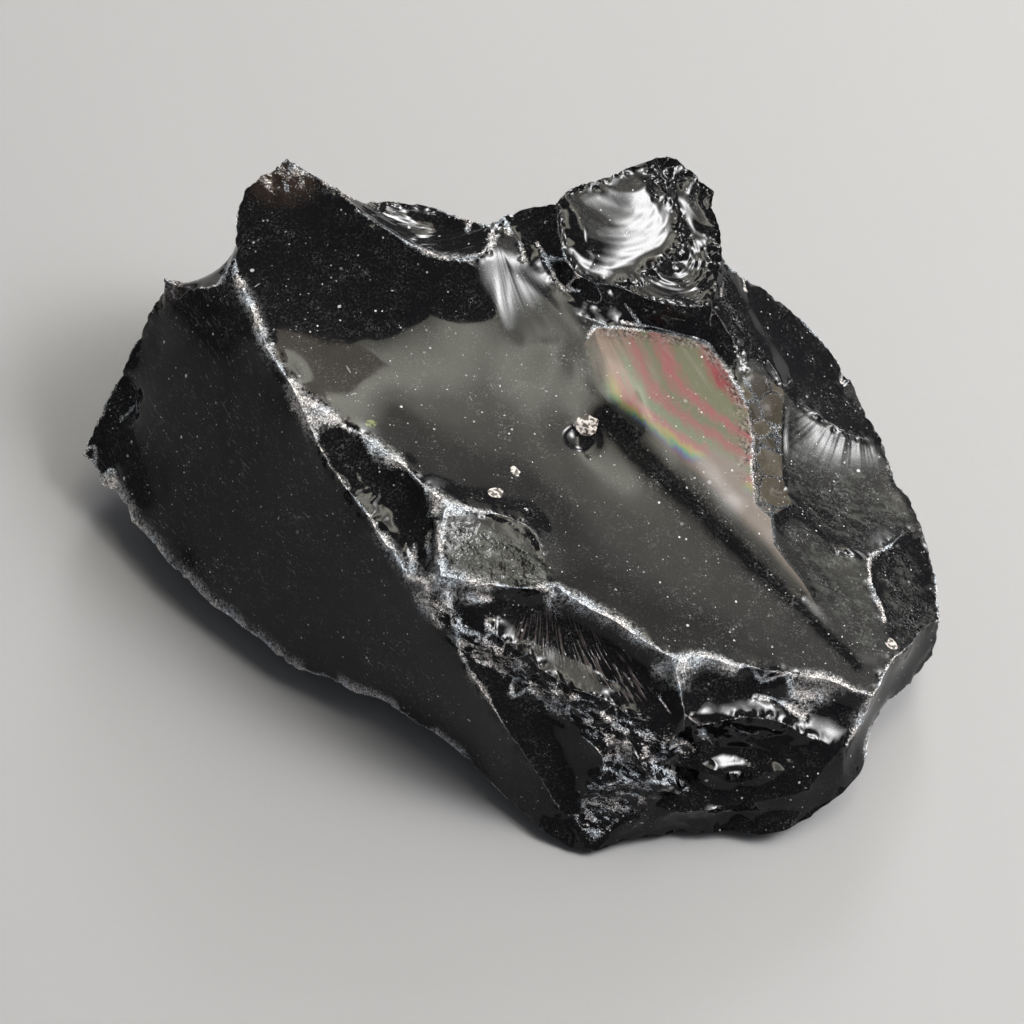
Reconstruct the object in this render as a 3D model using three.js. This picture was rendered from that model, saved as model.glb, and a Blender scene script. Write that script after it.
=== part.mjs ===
// An andara crystal: a lump of black natural glass, broken all round by shell-shaped fractures.
// It is one piece. Its surface is a net of named ridges, and each face between them is one fracture,
// a smooth web hung from its ridges and hollowed by a stated depth. Millimetres, +Z up, and the
// broad hollow scar looks up and forward, towards -Y.

import * as THREE from "three";

const LENGTH = 76.6; // along X, which sets the size of the whole stone
const GLASS = { color: 0x0b0b0d, roughness: 0.08, metalness: 0 };

const RIDGE_STEP = 1.7; // spacing of points along a ridge
const LEAST_CLEARANCE = 0.55; // of a face's step, from its ridges to its nearest inner point
const WEB_SCATTER = 0.15; // of a face's step, how far its inner points stray from an even grid
const RELAX_ROUNDS = 220;
const DOME_ROUNDS = 500;
const RIPPLE_FADE = 4; // how fast ripples grow away from a ridge
const PIT_RINGS = [[0.5, 6], [0.85, 10], [1.05, 12], [1.5, 12]]; // share of the radius, places
const PIT_CLEARANCE = 2; // of a pit's radius, kept free of the plain web
const BED_TOLERANCE = 0.01; // a point below this lies on the flat underside
const SLIVER = 1e-6; // mm, too thin a triangle to keep
const ROUND_OFF = 1e-9;
const SEED = 7;

// How far a ridge strays from its course, in mm.
const SOFT = 0.08;
const CLEAN = 0.15;
const PLAIN = 0.25;
const RAGGED = 0.35;
const CRUMBLED = 0.4;

// A ridge runs from one corner to another through its bends, and strays by its roughness.
const ridge = (roughness, ...stations) => ({ roughness, stations });

// A face is bounded by its ridges. A hollow below 0 is a swelling. Its step is the size of its web.
const face = (hollow, step, edges, extra = {}) => ({ hollow, step, edges, ...extra });

// ---------------------------------------------------------------- corners

const corners = {
  // The crest, from the low tip on the left up to the two horns and down to the front.
  leftTip: [-38.5, 9.5, 5],
  smallPeak: [-30.5, 18.5, 19.5],
  crestTop: [-24, 16.5, 23.3],
  westHorn: [-19.5, 26.5, 26.8],
  fork: [-18, 2.5, 23.2],
  rubbleTop: [-7.5, -14.5, 17.8],
  crestBend: [-4, -18.5, 14.6],
  crestLow: [5, -27.5, 3.2],
  southTip: [7.5, -30, 0.7],

  // The scoop at the back and the shell-shaped bowl in the right horn.
  lipWest: [-15, 23.5, 26.4],
  lipNotch: [-1.5, 20.5, 24.8],
  lipEast: [-1, 18, 25.3],
  bowlWest: [4.5, 22, 25.9],
  hornSplit: [13, 28, 24.8],
  bowlEast: [19.5, 20, 20.2],
  bowlFoot: [18.5, 15.5, 19.6],
  bowlMid: [9.5, 16, 21.8],

  // The valley, the flake beside it and the steps down to the right.
  valleyTop: [6, 14, 21.2],
  valleyLow: [29, -15.5, 11.8],
  flakeTop: [21, 9, 16],
  gullyEnd: [21.5, 11, 16.4],
  rampFoot: [25, 10, 14.4],
  tileWest: [23.5, -4, 14.3],
  tileEast: [25.5, -1.5, 12.9],
  shoulder: [34, 7.5, 9.6],
  fanFoot: [32, -6.5, 11.4],
  rimEast: [37, -0.5, 8.4],
  terraceEnd: [34, -15.5, 9.8],
  eastTip: [38.5, -10, 7],
  eastFoot: [38, -11.5, 3.8],

  // The broken front.
  chipNorth: [-5, -8, 22],
  chipSouth: [-5.5, -14, 20],
  chipEast: [4.5, -14.5, 19],
  brow: [14.5, -20, 16.2],
  prow: [32, -20, 10.2],
  hollowFoot: [15.5, -24.5, 11.6],
  rubbleMid: [8, -25, 9.8],
  rubbleEast: [12.5, -25, 10.4],
  cupWest: [7.5, -27, 6.3],
  cupDivide: [12.5, -27, 8],
  scoopSouth: [18.5, -26.5, 7.4],
  scoopEast: [29.5, -23.5, 6.6],
  ledgeWest: [13, -27.5, 4.4],
  ledgeMid: [16, -26.5, 6.2],
  ledgeEast: [29.5, -24.5, 4.6],
  southEast: [29.5, -25.5, 3.2],
  leftFoot: [-11, -16, 3.6],

  // The back, where the walls stand nearly upright.
  backLeft: [-26.5, 21.5, 8],
  backHorn: [-17.5, 29, 10],
  backMid: [-0.5, 27.5, 11],
  backBowl: [15, 29.5, 9.5],
  backStep: [23, 22, 5.5],
  backRight: [31.5, 13, 3.5],

  // The flat bed it rests on.
  bedLeft: [-26.5, 6.5, 0],
  bedFront: [-6.5, -16, 0],
  bedSouth: [6.5, -26, 0],
  bedSoutheast: [22.5, -23.5, 0],
  bedEast: [30.5, -11.5, 0],
  bedNortheast: [23.5, 11.5, 0],
  bedNorth: [6.5, 22.5, 0],
  bedNorthwest: [-16.5, 21.5, 0],
};

// ---------------------------------------------------------------- ridges

const ridges = {
  // Crest and left foot.
  leftTop: ridge(PLAIN, "smallPeak", [-29, 17, 20.3], [-26.5, 16, 21.8], "crestTop"),
  bevelRim: ridge(PLAIN, "smallPeak", [-34, 15.5, 12], [-37, 12.5, 7.4], "leftTip"),
  bevel: ridge(PLAIN, "smallPeak", [-31.5, 15.5, 15.2], [-34, 14, 11], [-33.5, 12.5, 8.9], "leftTip"),
  hornFlank: ridge(RAGGED, "crestTop", [-23.5, 23.5, 25.2], [-21.5, 25.5, 26.3], "westHorn"),
  hornTop: ridge(PLAIN, "westHorn", "lipWest"),
  crestA: ridge(CLEAN, "crestTop", [-21, 8, 23.7], "fork"),
  crestB: ridge(CLEAN, "fork", [-16.5, -1.5, 22.6], [-12, -8, 20.7], "rubbleTop"),
  crestC: ridge(PLAIN, "rubbleTop", "crestBend"),
  crestD: ridge(PLAIN, "crestBend", [-0.5, -22.5, 10.6], "crestLow"),
  crestE: ridge(PLAIN, "crestLow", "southTip"),
  leftFootA: ridge(RAGGED, "leftTip", [-36.5, 7, 4.2], [-29.5, -2.5, 3.6], [-19, -12, 3.3], "leftFoot"),
  leftFootB: ridge(CLEAN, "leftFoot", [-4, -21, 2.7], [-1.5, -23.5, 2.2], [4, -28.5, 1], "southTip"),

  // Scoop, bowl and the band under them.
  lipCrest: ridge(CLEAN, "lipWest", [-13, 21, 26.3], [-3.5, 16, 25.4], "lipEast"),
  lipRim: ridge(PLAIN, "lipWest", [-13.5, 23, 25.2], [-8.5, 24, 23.5], "lipNotch"),
  lipEnd: ridge(PLAIN, "lipNotch", "lipEast"),
  saddleRim: ridge(PLAIN, "lipNotch", [1.5, 22.5, 24.8], "bowlWest"),
  bowlRim: ridge(PLAIN, "bowlWest", [6.5, 24, 25.9], [11, 26.5, 25.3], "hornSplit"),
  bowlLeft: ridge(CLEAN, "bowlWest", [5.5, 17, 24.2], [7.5, 15.5, 22.8], "bowlMid"),
  bowlFront: ridge(CLEAN, "bowlMid", [14, 14.5, 20.9], [16.5, 14.5, 20.3], "bowlFoot"),
  bowlSplit: ridge(CLEAN, "hornSplit", [16, 22, 21.8], [15, 19.5, 21.6], "bowlMid"),
  bowlCorner: ridge(PLAIN, "bowlFoot", "bowlEast"),
  hornRim: ridge(RAGGED, "hornSplit", [14.5, 28.5, 24.6], [18.5, 27, 22.5], [19, 23, 21.1], "bowlEast"),
  wallLeft: ridge(PLAIN, "lipEast", [4.5, 16.5, 22.5], "valleyTop"),
  wallFoot: ridge(PLAIN, "valleyTop", [8, 13, 20.1], [11.5, 13.5, 19.3], [18, 13, 17.5], "flakeTop"),

  // Valley and flake.
  valley: ridge(
    SOFT, "valleyTop", [5.5, 10, 20.8], [7, 4.5, 19.8], [10.5, 1.5, 18.5], [22, -8.5, 14.4], "valleyLow",
  ),
  brim: ridge(SOFT, "valleyTop", [8.5, 5.5, 19.8], [12, 2.5, 18.9], [22.5, -7.5, 14.7], "valleyLow"),
  valleyTail: ridge(SOFT, "valleyLow", [31, -17.5, 10.9], "prow"),
  flakeEdge: ridge(PLAIN, "flakeTop", [21.5, 6.5, 15.9], [22, -2.5, 14.8], "tileWest"),
  flakeTail: ridge(PLAIN, "tileWest", [23.5, -6.5, 13.9], [26, -9.5, 12.9], "valleyLow"),

  // Steps down to the right.
  gullyFoot: ridge(PLAIN, "flakeTop", "gullyEnd"),
  gullyEdge: ridge(PLAIN, "bowlFoot", "gullyEnd"),
  rampCrest: ridge(PLAIN, "bowlEast", [20.5, 17, 18.2], [22.5, 14.5, 16.5], "rampFoot"),
  rampSide: ridge(PLAIN, "gullyEnd", "rampFoot"),
  tileEdge: ridge(PLAIN, "rampFoot", [24.5, 1.5, 13.2], "tileEast"),
  tileFoot: ridge(PLAIN, "tileWest", "tileEast"),
  backSlopeRim: ridge(RAGGED, "bowlEast", [22, 20.5, 17], [26, 19, 13.6], [29.5, 17, 11], "shoulder"),
  fanCrest: ridge(CLEAN, "rampFoot", [30, 7.5, 11.9], "shoulder"),
  fanLeft: ridge(PLAIN, "tileEast", [29.5, -6, 11.9], "fanFoot"),
  fanFootEdge: ridge(CLEAN, "fanFoot", "rimEast"),
  fanRim: ridge(PLAIN, "shoulder", "rimEast"),
  terraceEdge: ridge(PLAIN, "fanFoot", "terraceEnd"),
  eastRim: ridge(PLAIN, "rimEast", [38, -4, 7.7], "eastTip"),
  eastEdge: ridge(CRUMBLED, "terraceEnd", "eastTip"),
  eastDrop: ridge(PLAIN, "eastTip", "eastFoot"),
  prowEdge: ridge(CRUMBLED, "prow", "terraceEnd"),

  // Chip, brow and hollow.
  forkEdge: ridge(PLAIN, "fork", [-11.5, -2, 23.2], "chipNorth"),
  chipTop: ridge(PLAIN, "chipNorth", [-1.5, -8, 20.9], [2, -9, 19.9], [3.5, -11.5, 19.2], "chipEast"),
  chipFoot: ridge(CLEAN, "chipSouth", [2, -15, 19.3], "chipEast"),
  chipWest: ridge(CRUMBLED, "chipNorth", [-5.5, -11.5, 21.2], "chipSouth"),
  browWest: ridge(PLAIN, "chipEast", "brow"),
  browEast: ridge(PLAIN, "brow", [17, -19.5, 15.4], [26, -19.5, 12.3], [29, -19, 11.3], "prow"),
  hollowSide: ridge(PLAIN, "brow", [15, -22, 13.8], "hollowFoot"),

  // Rubble band and knee.
  rubbleHead: ridge(CRUMBLED, "rubbleTop", "chipSouth"),
  rubbleCrest: ridge(
    CRUMBLED, "chipSouth", [-4, -15.5, 18], [0, -18, 16.3], [6.5, -21.5, 13.6], "hollowFoot",
  ),
  rubbleFoot: ridge(
    CRUMBLED, "crestBend", [0, -19.5, 13.4], [2, -21, 12.2], [4.5, -22, 11.6], "rubbleMid",
  ),
  rubbleEdge: ridge(CRUMBLED, "rubbleMid", "rubbleEast"),
  rubbleEnd: ridge(PLAIN, "rubbleEast", "hollowFoot"),
  kneeEdge: ridge(PLAIN, "rubbleMid", [8.5, -26, 8], "cupWest"),
  kneeFoot: ridge(PLAIN, "cupWest", [7, -27, 4.6], "crestLow"),

  // Cups, scoop and ledges low on the front.
  cupArch: ridge(PLAIN, "rubbleEast", [11.5, -26, 9.3], "cupDivide"),
  cupSill: ridge(PLAIN, "cupWest", "cupDivide"),
  cupBrink: ridge(PLAIN, "cupDivide", [14.5, -28, 6.6], "ledgeMid"),
  scoopWest: ridge(PLAIN, "rubbleEast", [14.5, -25.5, 9.8], "scoopSouth"),
  scoopTop: ridge(CLEAN, "hollowFoot", [21.5, -22.5, 10.8], "scoopEast"),
  scoopLip: ridge(CLEAN, "scoopSouth", [20.5, -26.5, 7], "scoopEast"),
  ledgeA: ridge(PLAIN, "scoopSouth", "ledgeMid"),
  ledgeB: ridge(PLAIN, "ledgeMid", "ledgeWest"),
  ledgeC: ridge(PLAIN, "ledgeWest", [10, -28.5, 2.7], "southTip"),
  wallLedge: ridge(PLAIN, "ledgeWest", [17, -28, 4.2], [25.5, -26.5, 4.6], "ledgeEast"),
  prowSide: ridge(PLAIN, "prow", [31.5, -21, 8], "scoopEast"),
  southSide: ridge(PLAIN, "scoopEast", "ledgeEast"),
  southDrop: ridge(PLAIN, "ledgeEast", "southEast"),
  southFoot: ridge(RAGGED, "southTip", [14.5, -28.5, 1.2], [25.5, -28, 1.7], "southEast"),
  eastFootEdge: ridge(PLAIN, "southEast", [31.5, -23, 3.6], [32, -20, 4.1], "eastFoot"),

  // Back walls.
  backLeftRim: ridge(PLAIN, "leftTip", [-34, 15, 4], "backLeft"),
  backSmallPeak: ridge(PLAIN, "smallPeak", [-28.5, 21, 13], "backLeft"),
  backHornDrop: ridge(PLAIN, "westHorn", [-18.5, 29, 18], "backHorn"),
  backNotch: ridge(PLAIN, "lipNotch", [-1, 25, 18], "backMid"),
  backBowlDrop: ridge(PLAIN, "hornSplit", [14, 29.5, 17], "backBowl"),
  backEastDrop: ridge(PLAIN, "bowlEast", [21.5, 22.5, 12.5], "backStep"),
  backShoulder: ridge(PLAIN, "shoulder", "backRight"),
  backA: ridge(PLAIN, "backLeft", [-22.5, 26.5, 9.5], "backHorn"),
  backB: ridge(PLAIN, "backHorn", [-9.5, 27.5, 10.5], "backMid"),
  backC: ridge(PLAIN, "backMid", [7.5, 29, 11], "backBowl"),
  backD: ridge(PLAIN, "backBowl", [20, 27, 7.5], "backStep"),
  backE: ridge(PLAIN, "backStep", [28, 18, 4], "backRight"),
  backF: ridge(PLAIN, "backRight", [36, 3, 3.2], "eastFoot"),

  // Down to the bed and round it.
  underLeft: ridge(PLAIN, "leftTip", "bedLeft"),
  underFront: ridge(PLAIN, "leftFoot", "bedFront"),
  underSouth: ridge(PLAIN, "southTip", "bedSouth"),
  underSoutheast: ridge(PLAIN, "southEast", "bedSoutheast"),
  underEast: ridge(PLAIN, "eastFoot", "bedEast"),
  underNortheast: ridge(PLAIN, "backRight", "bedNortheast"),
  underNorth: ridge(PLAIN, "backBowl", "bedNorth"),
  underNorthwest: ridge(PLAIN, "backHorn", "bedNorthwest"),
  bedA: ridge(0, "bedLeft", [-16.5, -6.5, 0], "bedFront"),
  bedB: ridge(0, "bedFront", "bedSouth"),
  bedC: ridge(0, "bedSouth", "bedSoutheast"),
  bedD: ridge(0, "bedSoutheast", "bedEast"),
  bedE: ridge(0, "bedEast", [29.5, 1.5, 0], "bedNortheast"),
  bedF: ridge(0, "bedNortheast", "bedNorth"),
  bedG: ridge(0, "bedNorth", "bedNorthwest"),
  bedH: ridge(0, "bedNorthwest", "bedLeft"),
};

// ---------------------------------------------------------------- faces

const bubble = { at: [6.4, 1.7, 18.6], radius: 1.2, depth: 0.75 };
const lipRipples = { at: [-5.5, 29, 26], spacing: 1.3, height: 0.12 };
const bowlRipples = { at: [12, 28.5, 27], spacing: 1.7, height: 0.08 };
const crumpleRipples = { at: [19.5, 25, 24], spacing: 1.5, height: 0.14 };
const scoopRipples = { at: [22.5, -19.5, 12], spacing: 1.9, height: 0.14 };

const faces = {
  leftWall: face(-0.6, 2.2, [
    "leftTop", "crestA", "crestB", "crestC", "crestD", "crestE", "leftFootB", "leftFootA", "bevel",
  ]),
  leftBevel: face(0.1, 1.6, ["bevel", "bevelRim"]),
  greatScar: face(1.6, 2.1, [
    "crestA", "hornFlank", "hornTop", "lipCrest", "wallLeft", "valley", "valleyTail", "browEast",
    "browWest", "chipTop", "forkEdge",
  ], { pit: bubble }),
  lipScoop: face(0.7, 0.8, ["lipCrest", "lipRim", "lipEnd"], { ripples: lipRipples }),
  backBand: face(0.5, 1.5, [
    "lipEnd", "saddleRim", "bowlLeft", "bowlFront", "gullyEdge", "gullyFoot", "wallFoot", "wallLeft",
  ]),
  bowl: face(0.95, 0.75, ["bowlLeft", "bowlRim", "bowlSplit"], { ripples: bowlRipples }),
  bowlCrumple: face(0.8, 0.75, ["bowlSplit", "hornRim", "bowlCorner", "bowlFront"], {
    ripples: crumpleRipples,
  }),
  ramp: face(0.2, 1.4, ["gullyEdge", "bowlCorner", "rampCrest", "rampSide"]),
  bank: face(-0.1, 1.2, ["valley", "brim"]),
  flake: face(-0.5, 1.7, ["brim", "wallFoot", "flakeEdge", "flakeTail"]),
  tiles: face(-0.2, 1.2, ["flakeEdge", "gullyFoot", "rampSide", "tileEdge", "tileFoot"], { grain: 0.12 }),
  terrace: face(0.2, 1.7, ["flakeTail", "tileFoot", "fanLeft", "terraceEdge", "prowEdge", "valleyTail"]),
  fan: face(1, 1.3, ["fanCrest", "fanRim", "fanFootEdge", "fanLeft", "tileEdge"]),
  backSlope: face(0.5, 2, ["rampCrest", "backSlopeRim", "fanCrest"]),
  eastFacet: face(0.3, 1.8, ["fanFootEdge", "eastRim", "eastEdge", "terraceEdge"]),
  eastWall: face(0.5, 1.6, [
    "eastEdge", "prowEdge", "prowSide", "southSide", "southDrop", "eastFootEdge", "eastDrop",
  ]),
  chip: face(0.4, 1.3, ["chipTop", "chipFoot", "chipWest"]),
  blackNotch: face(1, 1.5, ["forkEdge", "chipWest", "rubbleHead", "crestB"]),
  hollow: face(1.8, 1.5, ["chipFoot", "browWest", "hollowSide", "rubbleCrest"]),
  overhang: face(0.9, 1.6, ["browEast", "prowSide", "scoopTop", "hollowSide"]),
  rubble: face(-0.3, 1.05, [
    "rubbleHead", "rubbleCrest", "rubbleEnd", "rubbleEdge", "rubbleFoot", "crestC",
  ], { grain: 0.22 }),
  knee: face(0.8, 1.4, ["rubbleFoot", "kneeEdge", "kneeFoot", "crestD"]),
  darkCup: face(0.8, 1, ["rubbleEdge", "cupArch", "cupSill", "kneeEdge"], { grain: 0.08 }),
  eastCup: face(0.9, 1, ["cupArch", "scoopWest", "ledgeA", "cupBrink"]),
  silverScoop: face(0.6, 1.1, ["cupSill", "cupBrink", "ledgeB", "ledgeC", "crestE", "kneeFoot"], {
    grain: 0.1,
  }),
  frontScoop: face(1.3, 0.85, ["scoopTop", "scoopLip", "scoopWest", "rubbleEnd"], {
    ripples: scoopRipples,
  }),
  southWall: face(0.35, 1.4, ["scoopLip", "southSide", "wallLedge", "ledgeB", "ledgeA"]),
  southBase: face(0.4, 1.5, ["wallLedge", "southDrop", "southFoot", "ledgeC"]),

  backLeftWall: face(0.6, 2.4, ["bevelRim", "backLeftRim", "backSmallPeak"]),
  backNotchWall: face(0.9, 2.4, ["leftTop", "hornFlank", "backHornDrop", "backA", "backSmallPeak"]),
  backLipWall: face(1.4, 2.4, ["hornTop", "lipRim", "backNotch", "backB", "backHornDrop"]),
  backSaddleWall: face(1.2, 2.4, ["saddleRim", "bowlRim", "backBowlDrop", "backC", "backNotch"]),
  backHornWall: face(0.7, 2.4, ["hornRim", "backEastDrop", "backD", "backBowlDrop"]),
  backStepWall: face(0.4, 2.4, ["backSlopeRim", "backShoulder", "backE", "backEastDrop"]),
  backEastWall: face(0.5, 2.4, ["fanRim", "eastRim", "eastDrop", "backF", "backShoulder"]),

  underLeftFace: face(0.3, 2.4, ["leftFootA", "underFront", "bedA", "underLeft"]),
  underSouthFace: face(0.2, 2.4, ["leftFootB", "underSouth", "bedB", "underFront"]),
  underFrontFace: face(0, 2, ["southFoot", "underSoutheast", "bedC", "underSouth"]),
  underEastFace: face(0.3, 2.2, ["eastFootEdge", "underEast", "bedD", "underSoutheast"]),
  underRightFace: face(0.3, 2.4, ["backF", "underEast", "bedE", "underNortheast"]),
  underBackFace: face(0.4, 2.4, ["backD", "backE", "underNortheast", "bedF", "underNorth"]),
  underNorthFace: face(0.6, 2.4, ["backB", "backC", "underNorth", "bedG", "underNorthwest"]),
  underWestFace: face(0.6, 2.4, ["backLeftRim", "backA", "underNorthwest", "bedH", "underLeft"]),
  bed: face(0, 3, ["bedA", "bedB", "bedC", "bedD", "bedE", "bedF", "bedG", "bedH"]),
};

// ---------------------------------------------------------------- random numbers

// The same numbers on each run (mulberry32), from -1 to 1.
function seededRandom(seed) {
  let state = seed;
  return () => {
    state = (state + 0x6d2b79f5) | 0;
    let t = Math.imul(state ^ (state >>> 15), 1 | state);
    t = (t + Math.imul(t ^ (t >>> 7), 61 | t)) ^ t;
    return ((t ^ (t >>> 14)) >>> 0) / 2 ** 31 - 1;
  };
}

// ---------------------------------------------------------------- laying the ridges

const points = []; // every point of the surface, shared by the faces that meet there
const addPoint = (p) => points.push(p) - 1;

const cornerIndex = {};
for (const [name, place] of Object.entries(corners)) {
  cornerIndex[name] = addPoint(new THREE.Vector3(...place));
}

// The indexes of a ridge's points from its first corner to its last.
function layRidge({ roughness, stations }, random) {
  const places = stations.map((s) => new THREE.Vector3(...(corners[s] ?? s)));
  const curve = new THREE.CatmullRomCurve3(places, false, "centripetal");
  const count = Math.max(1, Math.round(curve.getLength() / RIDGE_STEP));
  const laid = [cornerIndex[stations[0]]];
  for (let i = 1; i < count; i++) {
    const p = curve.getPointAt(i / count);
    const onBed = p.z < BED_TOLERANCE;
    p.x += roughness * random();
    p.y += roughness * random();
    p.z = onBed ? 0 : p.z + roughness * random();
    laid.push(addPoint(p));
  }
  laid.push(cornerIndex[stations.at(-1)]);
  return laid;
}

// ---------------------------------------------------------------- outlines

// Joins a face's ridges end to end into one closed ring of point indexes.
function ringOf(edges, laid) {
  const first = laid[edges[0]];
  const second = laid[edges[1]];
  const turned = first[0] === second[0] || first[0] === second.at(-1);
  let ring = turned && edges.length > 2 ? [...first].reverse() : [...first];
  for (const name of edges.slice(1)) {
    const next = laid[name][0] === ring.at(-1) ? laid[name] : [...laid[name]].reverse();
    if (next[0] !== ring.at(-1)) throw new Error(`ridge ${name} doesn't meet the one before it`);
    ring = ring.concat(next.slice(1));
  }
  if (ring.pop() !== ring[0]) throw new Error(`the ring that ends with ${edges.at(-1)} is open`);
  return ring;
}

const pairKey = (a, b) => `${Math.min(a, b)},${Math.max(a, b)}`;

// Turns the rings so that each ridge is walked once each way, starting from a ring that is right.
function orientRings(rings, start) {
  const owners = new Map();
  for (const [name, ring] of Object.entries(rings)) {
    ring.forEach((a, i) => {
      const key = pairKey(a, ring[(i + 1) % ring.length]);
      owners.set(key, [...(owners.get(key) ?? []), name]);
    });
  }
  const walks = (ring, a, b) => ring[(ring.indexOf(a) + 1) % ring.length] === b;
  const settled = new Set([start]);
  for (const name of settled) {
    const ring = rings[name];
    ring.forEach((a, i) => {
      const b = ring[(i + 1) % ring.length];
      const other = owners.get(pairKey(a, b)).find((owner) => owner !== name);
      if (other === undefined || settled.has(other)) return;
      if (walks(rings[other], a, b)) rings[other].reverse();
      settled.add(other);
    });
  }
}

// ---------------------------------------------------------------- the web of one face

function newellNormal(ring) {
  const normal = new THREE.Vector3();
  ring.forEach((index, i) => {
    const a = points[index];
    const b = points[ring[(i + 1) % ring.length]];
    normal.x += (a.y - b.y) * (a.z + b.z);
    normal.y += (a.z - b.z) * (a.x + b.x);
    normal.z += (a.x - b.x) * (a.y + b.y);
  });
  return normal.normalize();
}

const cross2 = (a, b, c) => (b.x - a.x) * (c.y - a.y) - (b.y - a.y) * (c.x - a.x);

function insideCircle(a, b, c, p) {
  const [ax, ay, bx, by, cx, cy] = [a.x - p.x, a.y - p.y, b.x - p.x, b.y - p.y, c.x - p.x, c.y - p.y];
  const [a2, b2, c2] = [ax * ax + ay * ay, bx * bx + by * by, cx * cx + cy * cy];
  const turn = ax * (by * c2 - b2 * cy) - ay * (bx * c2 - b2 * cx) + a2 * (bx * cy - by * cx);
  return turn > ROUND_OFF;
}

// A plane triangulation that keeps the outline's edges and turns the others to the rounder choice.
class Web {
  constructor(flat, ringLength) {
    this.flat = flat;
    this.ringLength = ringLength;
    this.triangles = [];
    this.owner = new Map();
  }

  set(t, a, b, c) {
    this.triangles[t] = [a, b, c];
    this.owner.set(`${a},${b}`, t);
    this.owner.set(`${b},${c}`, t);
    this.owner.set(`${c},${a}`, t);
  }

  isOutline(a, b) {
    if (a >= this.ringLength || b >= this.ringLength) return false;
    const apart = Math.abs(a - b);
    return apart === 1 || apart === this.ringLength - 1;
  }

  // Turns the edge a-b if the point across it lies too near, and follows the change outwards.
  settle(a, b) {
    const stack = [[a, b]];
    while (stack.length) {
      [a, b] = stack.pop();
      if (this.isOutline(a, b)) continue;
      const near = this.owner.get(`${a},${b}`);
      const far = this.owner.get(`${b},${a}`);
      if (near === undefined || far === undefined) continue;
      const c = this.triangles[near].find((v) => v !== a && v !== b);
      const d = this.triangles[far].find((v) => v !== a && v !== b);
      const [pa, pb, pc, pd] = [a, b, c, d].map((v) => this.flat[v]);
      const convex = cross2(pa, pd, pc) > ROUND_OFF && cross2(pd, pb, pc) > ROUND_OFF;
      if (!convex || !insideCircle(pa, pb, pc, pd)) continue;
      this.owner.delete(`${a},${b}`);
      this.owner.delete(`${b},${a}`);
      this.set(near, a, d, c);
      this.set(far, d, b, c);
      stack.push([a, d], [d, b], [b, c], [c, a]);
    }
  }

  // Puts a point into the triangle that holds it. Says whether one did.
  insert(v) {
    const p = this.flat[v];
    const holds = ([a, b, c]) =>
      cross2(this.flat[a], this.flat[b], p) > SLIVER &&
      cross2(this.flat[b], this.flat[c], p) > SLIVER &&
      cross2(this.flat[c], this.flat[a], p) > SLIVER;
    const t = this.triangles.findIndex(holds);
    if (t < 0) return false;
    const [a, b, c] = this.triangles[t];
    this.set(t, a, b, v);
    this.set(this.triangles.length, b, c, v);
    this.set(this.triangles.length, c, a, v);
    this.settle(a, b);
    this.settle(b, c);
    this.settle(c, a);
    return true;
  }
}

// Places on rings round a pit: its middle, its wall, its rim and the glass beside it.
function pitPlaces(middle, radius) {
  const places = [middle.clone()];
  for (const [share, count] of PIT_RINGS) {
    for (let i = 0; i < count; i++) {
      const turn = (2 * Math.PI * (i + share)) / count;
      const spoke = new THREE.Vector2(Math.cos(turn), Math.sin(turn)).multiplyScalar(share * radius);
      places.push(spoke.add(middle));
    }
  }
  return places;
}

// Even grid places inside a flat outline, clear of its edges.
function gridInside(outline, step, random) {
  const box = new THREE.Box2().setFromPoints(outline);
  const rowHeight = (step * Math.sqrt(3)) / 2;
  const found = [];
  const segment = new THREE.Line3();
  const nearest = new THREE.Vector3();
  const lift = (p) => new THREE.Vector3(p.x, p.y, 0);
  for (let row = 0, y = box.min.y; y < box.max.y; row++, y += rowHeight) {
    for (let x = box.min.x + (row % 2) * step * 0.5; x < box.max.x; x += step) {
      const p = new THREE.Vector2(x + WEB_SCATTER * step * random(), y + WEB_SCATTER * step * random());
      let inside = false;
      let clear = true;
      outline.forEach((a, i) => {
        const b = outline[(i + 1) % outline.length];
        if (a.y > p.y !== b.y > p.y && p.x < ((b.x - a.x) * (p.y - a.y)) / (b.y - a.y) + a.x) {
          inside = !inside;
        }
        segment.set(lift(a), lift(b)).closestPointToPoint(lift(p), true, nearest);
        if (nearest.distanceTo(lift(p)) < LEAST_CLEARANCE * step) clear = false;
      });
      if (inside && clear) found.push(p);
    }
  }
  return found;
}

// The first triangles of a face, between the points of its ring alone.
function webAcross(outline) {
  const web = new Web([...outline], outline.length);
  for (const [a, b, c] of THREE.ShapeUtils.triangulateShape(outline, [])) {
    const facesOut = cross2(outline[a], outline[b], outline[c]) > 0;
    web.set(web.triangles.length, a, facesOut ? b : c, facesOut ? c : b);
  }
  if (web.triangles.length !== outline.length - 2) throw new Error("a ring crosses itself when flat");
  for (const [a, b, c] of [...web.triangles]) {
    web.settle(a, b);
    web.settle(b, c);
    web.settle(c, a);
  }
  return web;
}

// 0 at the ring and 1 at the deepest point of the face, like a soap film under pressure.
function domeOver(neighbours, inner) {
  const dome = neighbours.map(() => 0);
  for (let round = 0; round < DOME_ROUNDS; round++) {
    for (const i of inner) {
      let sum = 0;
      for (const n of neighbours[i]) sum += dome[n];
      dome[i] = sum / neighbours[i].size + 1;
    }
  }
  const top = Math.max(...dome, ROUND_OFF);
  return dome.map((height) => height / top);
}

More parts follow.
